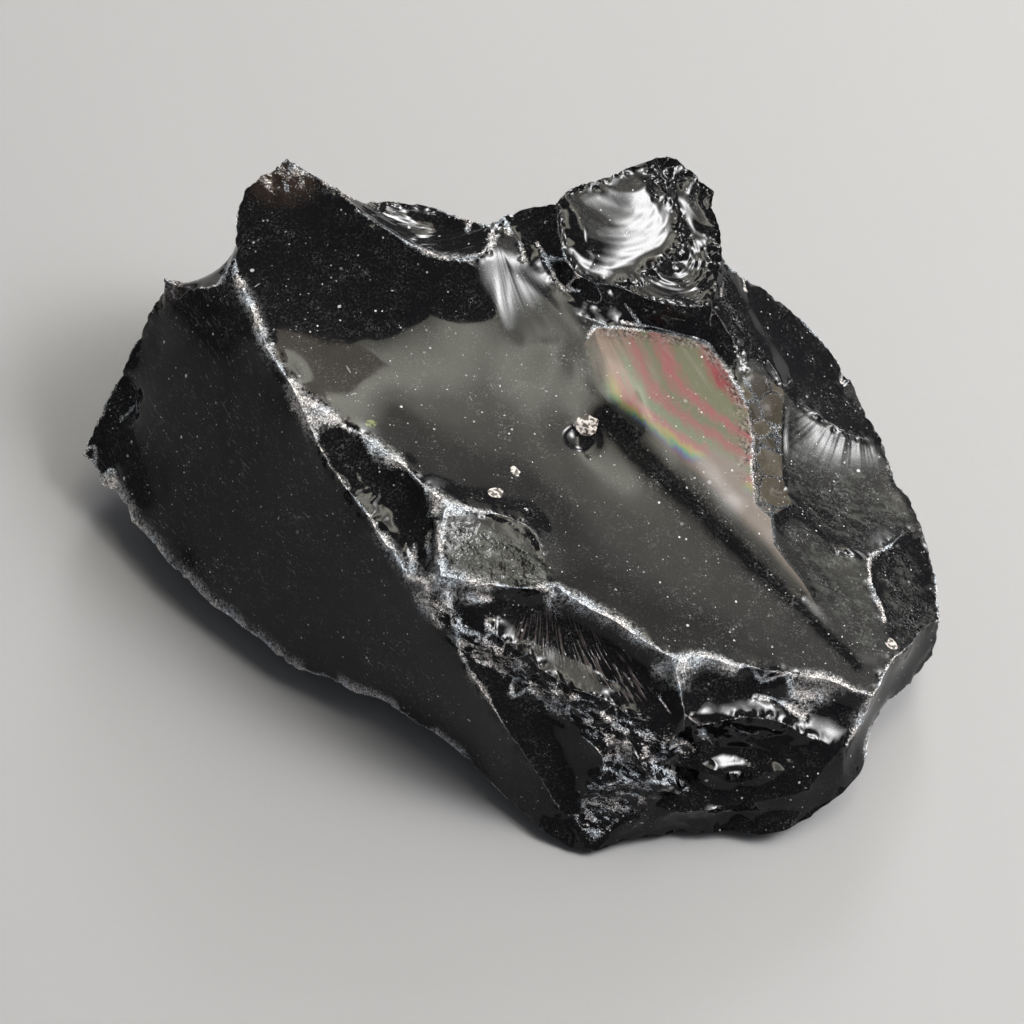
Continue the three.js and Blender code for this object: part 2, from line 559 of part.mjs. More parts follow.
// Fills a ring with triangles, hangs the inside evenly from the ring, then hollows it.
function fillFace(ring, { hollow, step, grain = 0, ripples, pit }, random) {
  const normal = newellNormal(ring);
  const u = new THREE.Vector3(0, 0, 1).cross(normal);
  if (u.lengthSq() < SLIVER) u.set(1, 0, 0);
  u.normalize();
  const v = normal.clone().cross(u);
  const flatten = (p) => new THREE.Vector2(p.dot(u), p.dot(v));
  const outline = ring.map((index) => flatten(points[index]));
  const web = webAcross(outline);

  const ids = [...ring];
  const level = ring.reduce((sum, index) => sum + points[index].dot(normal), 0) / ring.length;
  const pitMiddle = pit && flatten(new THREE.Vector3(...pit.at));
  const clearOfPit = (p) => !pit || p.distanceTo(pitMiddle) > PIT_CLEARANCE * pit.radius;
  const places = gridInside(outline, step, random).filter(clearOfPit);
  if (pit) places.push(...pitPlaces(pitMiddle, pit.radius));
  for (const p of places) {
    web.flat.push(p);
    if (!web.insert(web.flat.length - 1)) {
      web.flat.pop();
      continue;
    }
    const place = u.clone().multiplyScalar(p.x).addScaledVector(v, p.y);
    ids.push(addPoint(place.addScaledVector(normal, level)));
  }

  const neighbours = ids.map(() => new Set());
  for (const [a, b, c] of web.triangles) {
    neighbours[a].add(b).add(c);
    neighbours[b].add(a).add(c);
    neighbours[c].add(a).add(b);
  }
  const inner = ids.map((_, i) => i).slice(ring.length);
  for (let round = 0; round < RELAX_ROUNDS; round++) {
    for (const i of inner) {
      const p = points[ids[i]].set(0, 0, 0);
      for (const n of neighbours[i]) p.add(points[ids[n]]);
      p.divideScalar(neighbours[i].size);
    }
  }
  const dome = domeOver(neighbours, inner);
  for (const i of inner) {
    const p = points[ids[i]];
    let move = -hollow * dome[i] + grain * random();
    if (ripples) {
      const phase = (2 * Math.PI * p.distanceTo(new THREE.Vector3(...ripples.at))) / ripples.spacing;
      move += ripples.height * Math.sin(phase) * Math.min(1, dome[i] * RIPPLE_FADE);
    }
    if (pit) {
      const share = web.flat[i].distanceTo(pitMiddle) / pit.radius;
      move -= pit.depth * Math.sqrt(Math.max(0, 1 - share * share));
    }
    p.addScaledVector(normal, move);
  }
  return web.triangles.map((triangle) => triangle.map((i) => ids[i]));
}

// ---------------------------------------------------------------- the crystal

function crystalGeometry() {
  const random = seededRandom(SEED);
  const laid = {};
  for (const [name, course] of Object.entries(ridges)) laid[name] = layRidge(course, random);
  const rings = {};
  for (const [name, { edges }] of Object.entries(faces)) rings[name] = ringOf(edges, laid);
  if (newellNormal(rings.bed).z > 0) rings.bed.reverse();
  orientRings(rings, "bed");
  const index = [];
  for (const [name, kind] of Object.entries(faces)) {
    index.push(...fillFace(rings[name], kind, random).flat());
  }
  const geometry = new THREE.BufferGeometry().setFromPoints(points).setIndex(index);
  geometry.computeBoundingBox();
  const middle = geometry.boundingBox.getCenter(new THREE.Vector3());
  const size = geometry.boundingBox.getSize(new THREE.Vector3());
  const scale = LENGTH / size.x;
  geometry.translate(-middle.x, -middle.y, -geometry.boundingBox.min.z).scale(scale, scale, scale);
  geometry.computeVertexNormals();
  return geometry;
}

const crystal = new THREE.Mesh(crystalGeometry(), new THREE.MeshStandardMaterial(GLASS));
crystal.name = "andara_crystal";

const part = new THREE.Group();
part.add(crystal);

export default part;
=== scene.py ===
"""Andara crystal: a hand specimen of black natural glass, laid out as a Blender add-on.

The stone operator takes the solid, refines it into a smooth glassy skin with crisp broken ridges,
carves the ripples, hackles and crumbs of each fracture into it, and gives it its glass. The stage
operator lays the floor and sets the lights and the camera.
"""

import math

import bpy
import numpy as np
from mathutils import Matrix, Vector, kdtree, noise


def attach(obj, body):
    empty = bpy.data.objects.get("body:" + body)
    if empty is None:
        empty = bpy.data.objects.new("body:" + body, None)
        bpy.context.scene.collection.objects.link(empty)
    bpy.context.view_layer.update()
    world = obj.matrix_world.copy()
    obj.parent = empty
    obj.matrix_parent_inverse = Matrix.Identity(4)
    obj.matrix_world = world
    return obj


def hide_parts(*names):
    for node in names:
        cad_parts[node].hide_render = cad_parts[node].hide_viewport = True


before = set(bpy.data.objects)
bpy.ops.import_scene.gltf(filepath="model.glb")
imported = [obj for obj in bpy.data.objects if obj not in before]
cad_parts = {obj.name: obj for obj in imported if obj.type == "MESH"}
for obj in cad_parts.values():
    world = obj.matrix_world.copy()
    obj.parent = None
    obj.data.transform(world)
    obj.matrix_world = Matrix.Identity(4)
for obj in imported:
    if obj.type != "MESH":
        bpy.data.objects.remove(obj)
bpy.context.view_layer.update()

bl_info = {
    "name": "Andara Crystal",
    "version": (1, 0, 0),
    "blender": (4, 5, 0),
    "location": "View3D > Sidebar > Andara",
    "description": "Makes a hand specimen of black natural glass on a pale studio floor",
    "category": "Add Mesh",
}

MM = 0.001
SOLID = "andara_crystal"
SKIN = "black_glass_lump"

# ------------------------------------------------------------------ the fractures, in millimetres
# Plan outlines of the fractures that have a finish of their own, walked once round.
FLAKE = [
    (8.3, 5.3), (6.6, 10.0), (8.0, 12.6), (11.3, 13.0), (15.2, 13.2), (17.9, 12.9), (19.5, 11.2),
    (20.7, 9.0), (21.6, 6.4), (21.9, 3.7), (21.7, 0.8), (22.0, -2.7), (23.3, -3.8), (23.5, -6.3),
    (25.8, -9.4), (28.9, -15.3), (22.7, -7.5), (15.4, -0.8),
]
BOWL = [
    (9.5, 16.6), (7.2, 16.5), (5.4, 18.2), (4.9, 20.4), (4.6, 22.9), (6.5, 24.7), (8.6, 25.7),
    (10.9, 26.3), (12.8, 27.3), (14.9, 24.4), (16.0, 21.7), (14.7, 19.4), (12.2, 18.1),
]
CRUMPLE = [
    (9.5, 16.6), (12.2, 18.1), (14.7, 19.4), (16.0, 21.7), (14.9, 24.4), (12.8, 27.3), (15.8, 27.0),
    (18.6, 25.6), (19.0, 22.2), (19.5, 19.8), (18.4, 15.7), (14.1, 15.0),
]
LIP = [
    (-1.2, 18.1), (-3.3, 16.0), (-5.8, 16.3), (-8.3, 17.5), (-10.9, 19.0), (-15.1, 23.3),
    (-10.5, 23.8), (-5.8, 22.7), (-1.4, 20.5),
]
FAN = [
    (25.0, 10.0), (27.2, 8.3), (30.1, 7.4), (33.7, 7.6), (35.1, 5.0), (36.0, 2.3), (36.9, -0.6),
    (34.5, -3.3), (31.9, -6.4), (26.9, -3.2), (24.6, 1.4), (24.6, 5.9),
]
SCOOP = [
    (15.6, -24.5), (18.0, -23.5), (21.5, -22.7), (24.8, -22.9), (29.3, -23.3), (26.1, -24.4),
    (23.1, -25.7), (18.3, -26.4), (12.3, -25.0),
]
SCOOP_BED = [
    (14.5, -23.5), (18.0, -22.3), (24.8, -21.9), (30.3, -22.3), (31.0, -26.4), (25.1, -28.5),
    (18.3, -28.4), (12.3, -26.0),
]
TILES = [
    (23.3, -3.8), (22.0, -2.7), (21.7, 0.8), (21.9, 3.7), (21.6, 6.4), (20.7, 9.0), (21.6, 11.2),
    (25.0, 10.0), (24.6, 5.9), (24.6, 1.4), (25.4, -1.4),
]
RUBBLE = [
    (-7.3, -14.8), (-5.3, -14.1), (-2.0, -16.8), (3.7, -20.0), (9.8, -22.6), (15.6, -24.5),
    (16.5, -25.8), (16.1, -26.7), (9.9, -28.4), (7.5, -29.8), (5.2, -27.3), (8.1, -24.9),
    (2.1, -21.3), (-4.2, -18.5),
]
STARBURST = [
    (-1.3, 19.1), (-1.0, 13.4), (-0.4, 10.4), (1.3, 9.2), (4.9, 9.4), (7.5, 5.5), (9.4, 4.6),
    (8.9, 10.4), (6.2, 14.0), (4.3, 16.0), (1.3, 17.4),
]
CHIP = [
    (-5.0, -8.7), (-1.3, -8.9), (1.8, -10.0), (3.6, -12.0), (4.6, -14.6), (2.2, -14.8),
    (-1.3, -14.6), (-5.0, -13.9), (-5.3, -11.5),
]
NOTCH = [
    (-17.4, 1.8), (-14.3, -0.2), (-11.5, -2.2), (-9.1, -4.5), (-7.0, -7.3), (-5.3, -8.8),
    (-5.5, -11.4), (-5.5, -13.9), (-7.3, -14.7), (-9.5, -12.0), (-12.2, -8.1), (-14.5, -5.2),
    (-16.5, -1.5),
]
HACKLES = [
    (-0.4, -17.5), (1.3, -15.4), (4.7, -15.0), (8.2, -16.7), (11.6, -18.7), (13.3, -21.3),
    (11.6, -22.4), (8.2, -21.5), (4.7, -19.5),
]
TAIL = [
    (14.3, -0.3), (18.2, 2.5), (21.8, 1.4), (22.1, -2.6), (23.4, -3.9), (25.9, -9.5),
    (22.8, -6.5), (17.1, -2.3),
]
RAMP = [(18.5, 15.5), (19.5, 20.0), (21.6, 17.0), (25.0, 10.0), (21.5, 11.0)]
WALL = [
    (-38.5, 9.5), (-30.5, 18.5), (-24.0, 16.5), (-18.0, 2.5), (-7.5, -14.5), (-4.0, -18.5),
    (5.0, -27.5), (7.5, -30.0), (-11.0, -17.0), (-29.5, -3.5),
]
EAST_FACET = [(32.0, -6.5), (36.0, -2.5), (38.5, -10.0), (34.0, -15.5)]
TERRACE = [(23.5, -4.0), (27.0, -3.2), (32.0, -6.5), (33.5, -14.0), (30.5, -16.5), (26.0, -9.5)]
FRONT_FOOT = [
    (4.0, -27.5), (9.0, -27.0), (16.0, -27.2), (24.0, -26.5), (31.0, -24.5), (32.0, -33.0), (4.0, -34.0),
]
FRONT = [
    (3.5, -28.5), (5.2, -26.8), (9.0, -25.8), (12.5, -24.6), (16.0, -24.4), (18.5, -23.2),
    (25.0, -22.5), (29.5, -22.9), (32.5, -22.0), (32.5, -31.0), (3.5, -31.0),
]
# Paths along ridges and valleys, in plan.
BRIM = [(6.6, 10.0), (8.3, 5.3), (12.1, 2.3), (15.4, -0.8), (19.0, -4.1), (22.7, -7.5), (28.9, -15.3)]
CREST = [(-24.0, 16.5), (-21.0, 8.0), (-18.0, 2.5), (-12.0, -8.0), (-7.5, -14.5)]
FORK = [(-18.0, 2.5), (-11.5, -2.0), (-5.0, -8.0), (-5.5, -14.0), (4.5, -14.5)]
BROW = [(4.5, -14.5), (14.5, -20.0), (26.0, -19.5), (32.0, -20.0)]
LEFT_FOOT = [(-38.5, 9.5), (-36.5, 7.0), (-29.5, -2.5), (-19.0, -12.0), (-11.0, -16.0), (-4.0, -21.0)]
LIP_EDGE = [(-15.0, 23.5), (-13.0, 21.0), (-3.5, 16.0), (-1.0, 18.0)]
GROOVE = [(8.6, 3.7), (11.6, 0.4), (16.3, -3.6), (22.3, -9.2), (30.5, -17.0)]
THORN = [(-23.4, 18.8), (-22.4, 20.6)]
# Points, and the reach round each.
HORNS = [((-19.5, 26.0, 26.3), 5.0), ((-30.3, 18.3, 19.3), 3.0), ((13.5, 27.5, 24.5), 3.0)]
PIT = (6.4, 1.7, 17.8)
PIT_RADIUS = 1.25
# Where the skin is drawn smooth before it is carved: paths in plan and the reach round them.
EVENED = [([(6.4, 1.7), (7.4, 5.4)], 4.2), ([(-12.3, 0.2), (-12.0, 0.0)], 3.2), (GROOVE[1:], 3.4)]
# White patches and their reaches: three chips stuck to the skin, and at (7.2, 3.0) a painted glint beside
# the pit.
WHITE_CHIPS_AND_PIT_GLINT = [((1.1, -2.9), 0.5), ((-0.6, -5.5), 0.6), ((7.2, 3.0), 1.0), ((33.4, -14.1), 0.5)]
GREEN_CHIP = ((-11.5, 0.6), 0.5)
# The flake's colour bands follow two sets of flow layers that meet in a bend. Each set is given by
# the slope of its layers along x, y and z and its height over the brim where x, y and z are 0.
LOW_LAYERS = ((0.53, 0.695, 0.487), 21.74)
STEEP_LAYERS = ((0.627, 0.168, 0.118), 12.91)
LAYER_BEND = 1.0
LAYER_TOP, LAYER_FOOT = 5.6, -3.2
# Swellings, and hollows below 0, of four fractures: centre, reach both ways, turn and height.
SWELLINGS = [
    (BOWL, [(6.8, 20.2, 2.6, 5.5, 1.85, 1.0), (16.4, 20.2, 2.2, 4.6, 2.15, -0.6),
            (11.3, 25.2, 3.6, 2.9, 1.35, 0.6)]),
    (STARBURST, [(2.5, 13.3, 4.6, 3.3, -0.2, -0.3)]),
    (LIP, [(-5.5, 20.9, 3.7, 1.2, 0.4, -0.45), (-6.8, 16.6, 2.0, 4.2, -2.1, -0.8)]),
    (SCOOP_BED, [(15.2, -25.8, 1.3, 5.5, -0.25, -1.0), (17.8, -25.2, 4.1, 6.0, 1.55, -0.75),
                 (20.5, -26.8, 1.3, 3.6, 2.8, -0.5)]),
]
# Ripples: where, the centre of their rings, spacing, height, start, seed and how far they wander.
RIPPLES = [
    (BOWL, (8.8, 25.4, 23.0), 0.8, 0.009, 1.5, 11, 0.4),
    (BOWL, (8.8, 25.4, 23.0), 0.8, 0.022, 5.5, 12, 0.4),
    (CRUMPLE, (14.9, 22.5, 22.5), 1.3, 0.05, 0.5, 21, 1.2),
    (LIP, (-6.5, 31.0, 27.0), 1.5, 0.07, 2.0, 31, 0.9),
    (SCOOP, (21.2, -28.8, 8.0), 1.35, 0.10, 1.0, 41, 0.6),
]
FRONT_EDGE = (-0.4, 0.6)  # how far inside the front its smooth skin starts and is full
RIPPLE_SKEW = 0.35
RIPPLE_GROWTH = 4.0

# ------------------------------------------------------------------ the skin's making

RIDGE_ANGLE = math.radians(24)  # between two facets of the solid that meet in a ridge
SHARP_ANGLE = math.radians(42)  # between two triangles of the skin that are shaded apart
SHRINK, SWELL = 0.5, -0.52  # smoothing in turns of both keeps the size
SPLITS = 5
RIDGE_SCATTER = 0.10
SCATTER_FALL = 1.8  # from each split to the next
BED = 0.02  # the height under which the skin stays flat on the ground
UPWARD = -0.1  # the least height of the normal on a face that looks up, or straight sideways
MOST_TRIANGLES = 200000

# ------------------------------------------------------------------ the stage, in metres

FLOOR_CLOUD = 0.96  # how dark the floor's darker cloud is
SKY = (0.9, 0.94, 1.0, 1)
SKY_STRENGTH = 0.16
WINDOW = [(0.088, -0.03, 0.9), (0.088, 1.3, 0.9), (1.5, 1.3, 0.9), (1.5, -0.03, 0.9)]
WINDOW_STRENGTH = 7.8
# Each lamp's bearing from the back and height angle, how far off it is, its half sizes and strength.
LAMPS = {
    "lamp": (93, 49, 0.75, 0.32, 0.22, 44.0),
    "back_lamp": (11, 28, 0.9, 0.19, 0.22, 38.0),
}
LAMP_TARGET = (0.0, 0.0, 0.015)
LENS = 168.1
CAMERA_TILT = math.radians(55)
CAMERA_AWAY = 0.42
CAMERA_TARGET = (0.00063, -0.00234, 0.01294)


class StoneSettings(bpy.types.PropertyGroup):
    web: bpy.props.FloatProperty(
        name="Web", description="Longest edge on the plain fractures", default=0.00085,
        subtype="DISTANCE", unit="LENGTH",
    )
    fine_web: bpy.props.FloatProperty(
        name="Fine web", description="Longest edge on the rippled fractures", default=0.00022,
        subtype="DISTANCE", unit="LENGTH",
    )
    ridge_web: bpy.props.FloatProperty(
        name="Ridge web", description="Longest edge beside a ridge", default=0.0005,
        subtype="DISTANCE", unit="LENGTH",
    )


class StageSettings(bpy.types.PropertyGroup):
    floor_side: bpy.props.FloatProperty(
        name="Floor side", description="Length of the floor's sides", default=3.0,
        subtype="DISTANCE", unit="LENGTH",
    )
    floor_colour: bpy.props.FloatVectorProperty(
        name="Floor colour", description="Colour of the floor", size=3, subtype="COLOR",
        default=(0.335, 0.33, 0.335), min=0.0, max=1.0,
    )


# ------------------------------------------------------------------ plane geometry


def inside_depth(points, outline):
    """How far inside a plan outline each point lies, in millimetres. Outside is below zero."""
    x, y = points[:, 0], points[:, 1]
    inside = np.zeros(len(points), bool)
    nearest = np.full(len(points), np.inf)
    for (ax, ay), (bx, by) in zip(outline, outline[1:] + outline[:1]):
        if ay != by:
            crosses = (ay > y) != (by > y)
            inside ^= crosses & (x < (bx - ax) * (y - ay) / (by - ay) + ax)
        nearest = np.minimum(nearest, line_distance(x, y, ax, ay, bx, by))
    return np.where(inside, nearest, -nearest)


def line_distance(x, y, ax, ay, bx, by):
    """Distance from each place to a straight line's stretch from a to b."""
    dx, dy = bx - ax, by - ay
    along = np.clip(((x - ax) * dx + (y - ay) * dy) / (dx * dx + dy * dy), 0.0, 1.0)
    return np.hypot(x - ax - along * dx, y - ay - along * dy)


def plan_distance(points, spot):
    """Distance in plan from each point to a spot, in millimetres."""
    return np.hypot(points[:, 0] - spot[0], points[:, 1] - spot[1])


def reach_from(points, centre):
    """Distance from each point to a centre, in millimetres."""
    return np.linalg.norm(points - np.array(centre), axis=1)


def path_distance(points, path):
    """Distance in plan from each point to a path, in millimetres."""
    x, y = points[:, 0], points[:, 1]
    stretches = zip(path, path[1:])
    return np.min([line_distance(x, y, ax, ay, bx, by) for (ax, ay), (bx, by) in stretches], axis=0)


def soft_step(value, low, high):
    """0 below low, 1 above high, with a soft rise between them."""
    share = np.clip((value - low) / (high - low), 0.0, 1.0)
    return share * share * (3.0 - 2.0 * share)


def zone(points, normals, outline, softness):
    """1 well inside an outline on faces that look up, 0 outside it, with a soft edge."""
    return soft_step(inside_depth(points, outline), 0.0, softness) * (normals[:, 2] > UPWARD)


# ------------------------------------------------------------------ the web of triangles


class Web:
    """Points and triangles in millimetres, with the pairs of points that are ridges."""

    def __init__(self, points, triangles):
        self.points = points
        self.triangles = triangles
        self.ridges = np.zeros((0, 2), int)

    def edges(self):
        sides = self.triangles[:, [[0, 1], [1, 2], [2, 0]]].reshape(-1, 2)
        pairs, owner = np.unique(np.sort(sides, axis=1), axis=0, return_inverse=True)
        return pairs, owner.reshape(-1, 3)

    def keys(self, pairs):
        return pairs[:, 0] * np.int64(len(self.points) + 1) + pairs[:, 1]

    def is_ridge(self, pairs):
        return np.isin(self.keys(pairs), self.keys(self.ridges))

    def triangle_normals(self):
        a, b, c = (self.points[self.triangles[:, i]] for i in range(3))
        return np.cross(b - a, c - a)

    def normals(self):
        total = np.zeros_like(self.points)
        flat = self.triangle_normals()
        for i in range(3):
            np.add.at(total, self.triangles[:, i], flat)
        return total / np.maximum(np.linalg.norm(total, axis=1, keepdims=True), 1e-12)

    def find_ridges(self, angle, quiet):
        """Ridges are the edges whose two faces meet at more than an angle, outside the quiet points."""
        pairs, owner = self.edges()
        flat = self.triangle_normals()
        flat /= np.maximum(np.linalg.norm(flat, axis=1, keepdims=True), 1e-12)
        first = np.full(len(pairs), -1)
        second = np.full(len(pairs), -1)
        for i in range(3):
            for t, e in enumerate(owner[:, i]):
                if first[e] < 0:
                    first[e] = t
                else:
                    second[e] = t
        turn = np.einsum("ij,ij->i", flat[first], flat[second])
        loud = ~(quiet[pairs[:, 0]] & quiet[pairs[:, 1]])
        return pairs[(turn < math.cos(angle)) & loud]

    def split(self, limits):
        """Halves each edge that is longer than the limit at its ends. Says whether any was."""
        pairs, owner = self.edges()
        a, b = self.points[pairs[:, 0]], self.points[pairs[:, 1]]
        length = np.linalg.norm(a - b, axis=1)
        cut = length > np.minimum(limits[pairs[:, 0]], limits[pairs[:, 1]])
        if not cut.any():
            return False
        ridge = self.is_ridge(pairs)
        number = np.full(len(pairs), -1)
        number[cut] = len(self.points) + np.arange(cut.sum())
        halves = [self.ridges[~self.is_cut(self.ridges, pairs[cut])]]
        for side in range(2):
            chosen = ridge & cut
            halves.append(np.stack([pairs[chosen, side], number[chosen]], axis=1))
        middles = (a[cut] + b[cut]) / 2
        self.points = np.concatenate([self.points, middles])
        self.ridges = np.concatenate(halves)
        mids = number[owner]
        made = []
        for turned in range(3):
            corner = np.roll(self.triangles, -turned, axis=1)
            mid = np.roll(mids, -turned, axis=1)
            has = mid >= 0
            one = has[:, 0] & ~has[:, 1] & ~has[:, 2]
            made.append(self.pick(corner[one], mid[one], "0m2", "m12"))
            two = has[:, 0] & has[:, 1] & ~has[:, 2]
            made.append(self.pick(corner[two], mid[two], "m1n", "0mn", "0n2"))
        three = (mids >= 0).all(axis=1)
        made.append(self.pick(self.triangles[three], mids[three], "0mo", "m1n", "on2", "mno"))
        made.append(self.triangles[(mids < 0).all(axis=1)])
        self.triangles = np.concatenate(made)
        return True

    def is_cut(self, pairs, cut_pairs):
        return np.isin(self.keys(pairs), self.keys(cut_pairs))

    @staticmethod
    def pick(corners, mids, *patterns):
        """Triangles named by their corners 0, 1 and 2 and the middles m, n and o of their sides."""
        place = {"0": corners[:, 0], "1": corners[:, 1], "2": corners[:, 2]}
        place.update({"m": mids[:, 0], "n": mids[:, 1], "o": mids[:, 2]})
        return np.concatenate([np.stack([place[c] for c in p], axis=1) for p in patterns])

    def relax(self, rounds, shrink, swell, held):
        """Smooths the web without shrinking it. Ridges are smoothed along themselves alone."""
        pairs, _ = self.edges()
        ridge = self.is_ridge(pairs)
        on_ridge = np.zeros(len(self.points), bool)
        on_ridge[self.ridges.ravel()] = True
        counts = np.bincount(self.ridges.ravel(), minlength=len(self.points))
        corner = on_ridge & (counts != 2)
        plain = Links(pairs, len(self.points))
        along = Links(pairs[ridge], len(self.points))
        for _ in range(rounds):
            for amount in (shrink, swell):
                drift = plain.drift(self.points)
                drift[on_ridge] = along.drift(self.points)[on_ridge]
                drift[corner | held] = 0.0
                self.points = self.points + amount * drift


class Links:
    """Which points are joined to which, for averaging over neighbours."""

    def __init__(self, pairs, count):
        self.here = np.concatenate([pairs[:, 0], pairs[:, 1]])
        self.there = np.concatenate([pairs[:, 1], pairs[:, 0]])
        self.count = count
        self.degree = np.maximum(np.bincount(self.here, minlength=count), 1)[:, None]

    def drift(self, values):
        """From each point to the mean of its neighbours."""
        total = np.stack(
            [np.bincount(self.here, values[self.there, i], self.count) for i in range(3)], axis=1
        )
        return total / self.degree - values


def waves(points, size, seed):
    """Smooth noise from -1 to 1 whose lumps are about a size across."""
    away = Vector((seed * 17.3, seed * 5.1, seed * 9.7))
    return np.array([noise.noise(Vector(p) / size + away) for p in points])


def crags(points, size, seed, octaves=3):
    """Sharp-crested noise from 0 to 1."""
    away = Vector((seed * 17.3, seed * 5.1, seed * 9.7))
    return np.array(
        [noise.ridged_multi_fractal(Vector(p) / size + away, 1.0, 2.1, octaves, 0.9, 2.0)
         for p in points]
    ) / 2.0


# ------------------------------------------------------------------ the skin


def read_solid():
    """The solid's own points and triangles, with points that share a place joined."""
    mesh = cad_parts[SOLID].data
    mesh.calc_loop_triangles()
    co = np.zeros(len(mesh.vertices) * 3)
    mesh.vertices.foreach_get("co", co)
    tri = np.zeros(len(mesh.loop_triangles) * 3, int)
    mesh.loop_triangles.foreach_get("vertices", tri)
    points, owner = np.unique(np.round(co.reshape(-1, 3) / MM, 3), axis=0, return_inverse=True)
    triangles = owner.reshape(-1)[tri].reshape(-1, 3)
    keep = (triangles[:, 0] != triangles[:, 1]) & (triangles[:, 1] != triangles[:, 2])
    keep &= triangles[:, 2] != triangles[:, 0]
    return Web(points, triangles[keep])


def ridge_distance(web, reach, ridges=None):
    """Distance from each point to the nearest ridge, up to a reach."""
    ends = np.unique((web.ridges if ridges is None else ridges).ravel())
    tree = kdtree.KDTree(len(ends))
    for i, p in enumerate(web.points[ends]):
        tree.insert(p, i)
    tree.balance()
    return np.array([min(tree.find(p)[2], reach) for p in web.points])


def edge_limits(web, settings):
    """The longest edge wanted at each point."""
    points, normals = web.points, web.normals()
    plain, fine, beside = (v / MM for v in (settings.web, settings.fine_web, settings.ridge_web))
    limits = np.full(len(points), plain)
    near = ridge_distance(web, 2.0) < 0.6
    limits[near & (points[:, 2] > 1.0)] = beside
    for outline, wanted in (
        (BOWL, fine), (CRUMPLE, fine), (LIP, 1.2 * fine), (SCOOP_BED, 1.3 * fine), (FAN, 1.6 * fine),
        (RUBBLE, 1.5 * fine), (NOTCH, 1.7 * fine), (FLAKE, 2.6 * fine), (TILES, 1.8 * fine),
        (STARBURST, 1.7 * fine), (FRONT_FOOT, 1.9 * fine),
    ):
        here = (inside_depth(points, outline) > -0.4) & (normals[:, 2] > UPWARD)
        limits[here] = np.minimum(limits[here], wanted)
    for centre, reach, wanted in [(PIT, 1.8 * PIT_RADIUS, 1.2 * fine)] + [(*h, 1.7 * fine) for h in HORNS]:
        here = reach_from(points, centre) < reach
        limits[here] = np.minimum(limits[here], wanted)
    here = path_distance(points, GROOVE) < 1.6
    limits[here & (normals[:, 2] > 0.5)] = np.minimum(limits[here & (normals[:, 2] > 0.5)], 2.0 * fine)
    return limits


def shape_skin(web, settings):
    """Refines the solid's facets into a smooth skin with crisp ridges."""
    quiet = np.zeros(len(web.points), bool)
    normals = web.normals()
    for outline in (BOWL, CRUMPLE, LIP, FLAKE):
        quiet |= (inside_depth(web.points, outline) > 0.35) & (normals[:, 2] > UPWARD)
    quiet |= path_distance(web.points, EVENED[0][0]) < EVENED[0][1]
    quiet |= path_distance(web.points, GROOVE) < 1.8
    web.ridges = web.find_ridges(RIDGE_ANGLE, quiet)
    for path, reach in EVENED:
        web.relax(40, SHRINK, 0.0, (path_distance(web.points, path) > reach) | (normals[:, 2] < 0.1))
    for level in range(SPLITS):
        before = len(web.points)
        if not web.split(edge_limits(web, settings)):
            break
        on_bed = web.points[:, 2] < BED
        new_ridge = np.zeros(len(web.points), bool)
        new_ridge[web.ridges.ravel()] = True
        new_ridge[:before] = False
        new_ridge &= ~on_bed
        scatter = RIDGE_SCATTER / SCATTER_FALL**level
        random = np.random.default_rng(level)
        web.points[new_ridge] += random.normal(0.0, scatter, (int(new_ridge.sum()), 3))
        web.relax(6, SHRINK, SWELL, on_bed)
    web.relax(14, SHRINK, SWELL, web.points[:, 2] < BED)
    for outline, rounds in ((BOWL, 26), (CRUMPLE, 5), (SCOOP, 5)):
        inside = (inside_depth(web.points, outline) > 0.25) & (web.normals()[:, 2] > UPWARD)
        web.relax(rounds, SHRINK, 0.0, ~inside)


def swellings(points, places):
    """The summed height of round-topped swellings, in millimetres."""
    height = np.zeros(len(points))
    for east, north, reach, side_reach, turn, rise in places:
        x, y = points[:, 0] - east, points[:, 1] - north
        along = (math.cos(turn) * x + math.sin(turn) * y) / reach
        across = (math.cos(turn) * y - math.sin(turn) * x) / side_reach
        height += rise * np.exp(-(along**2) - across**2)
    return height


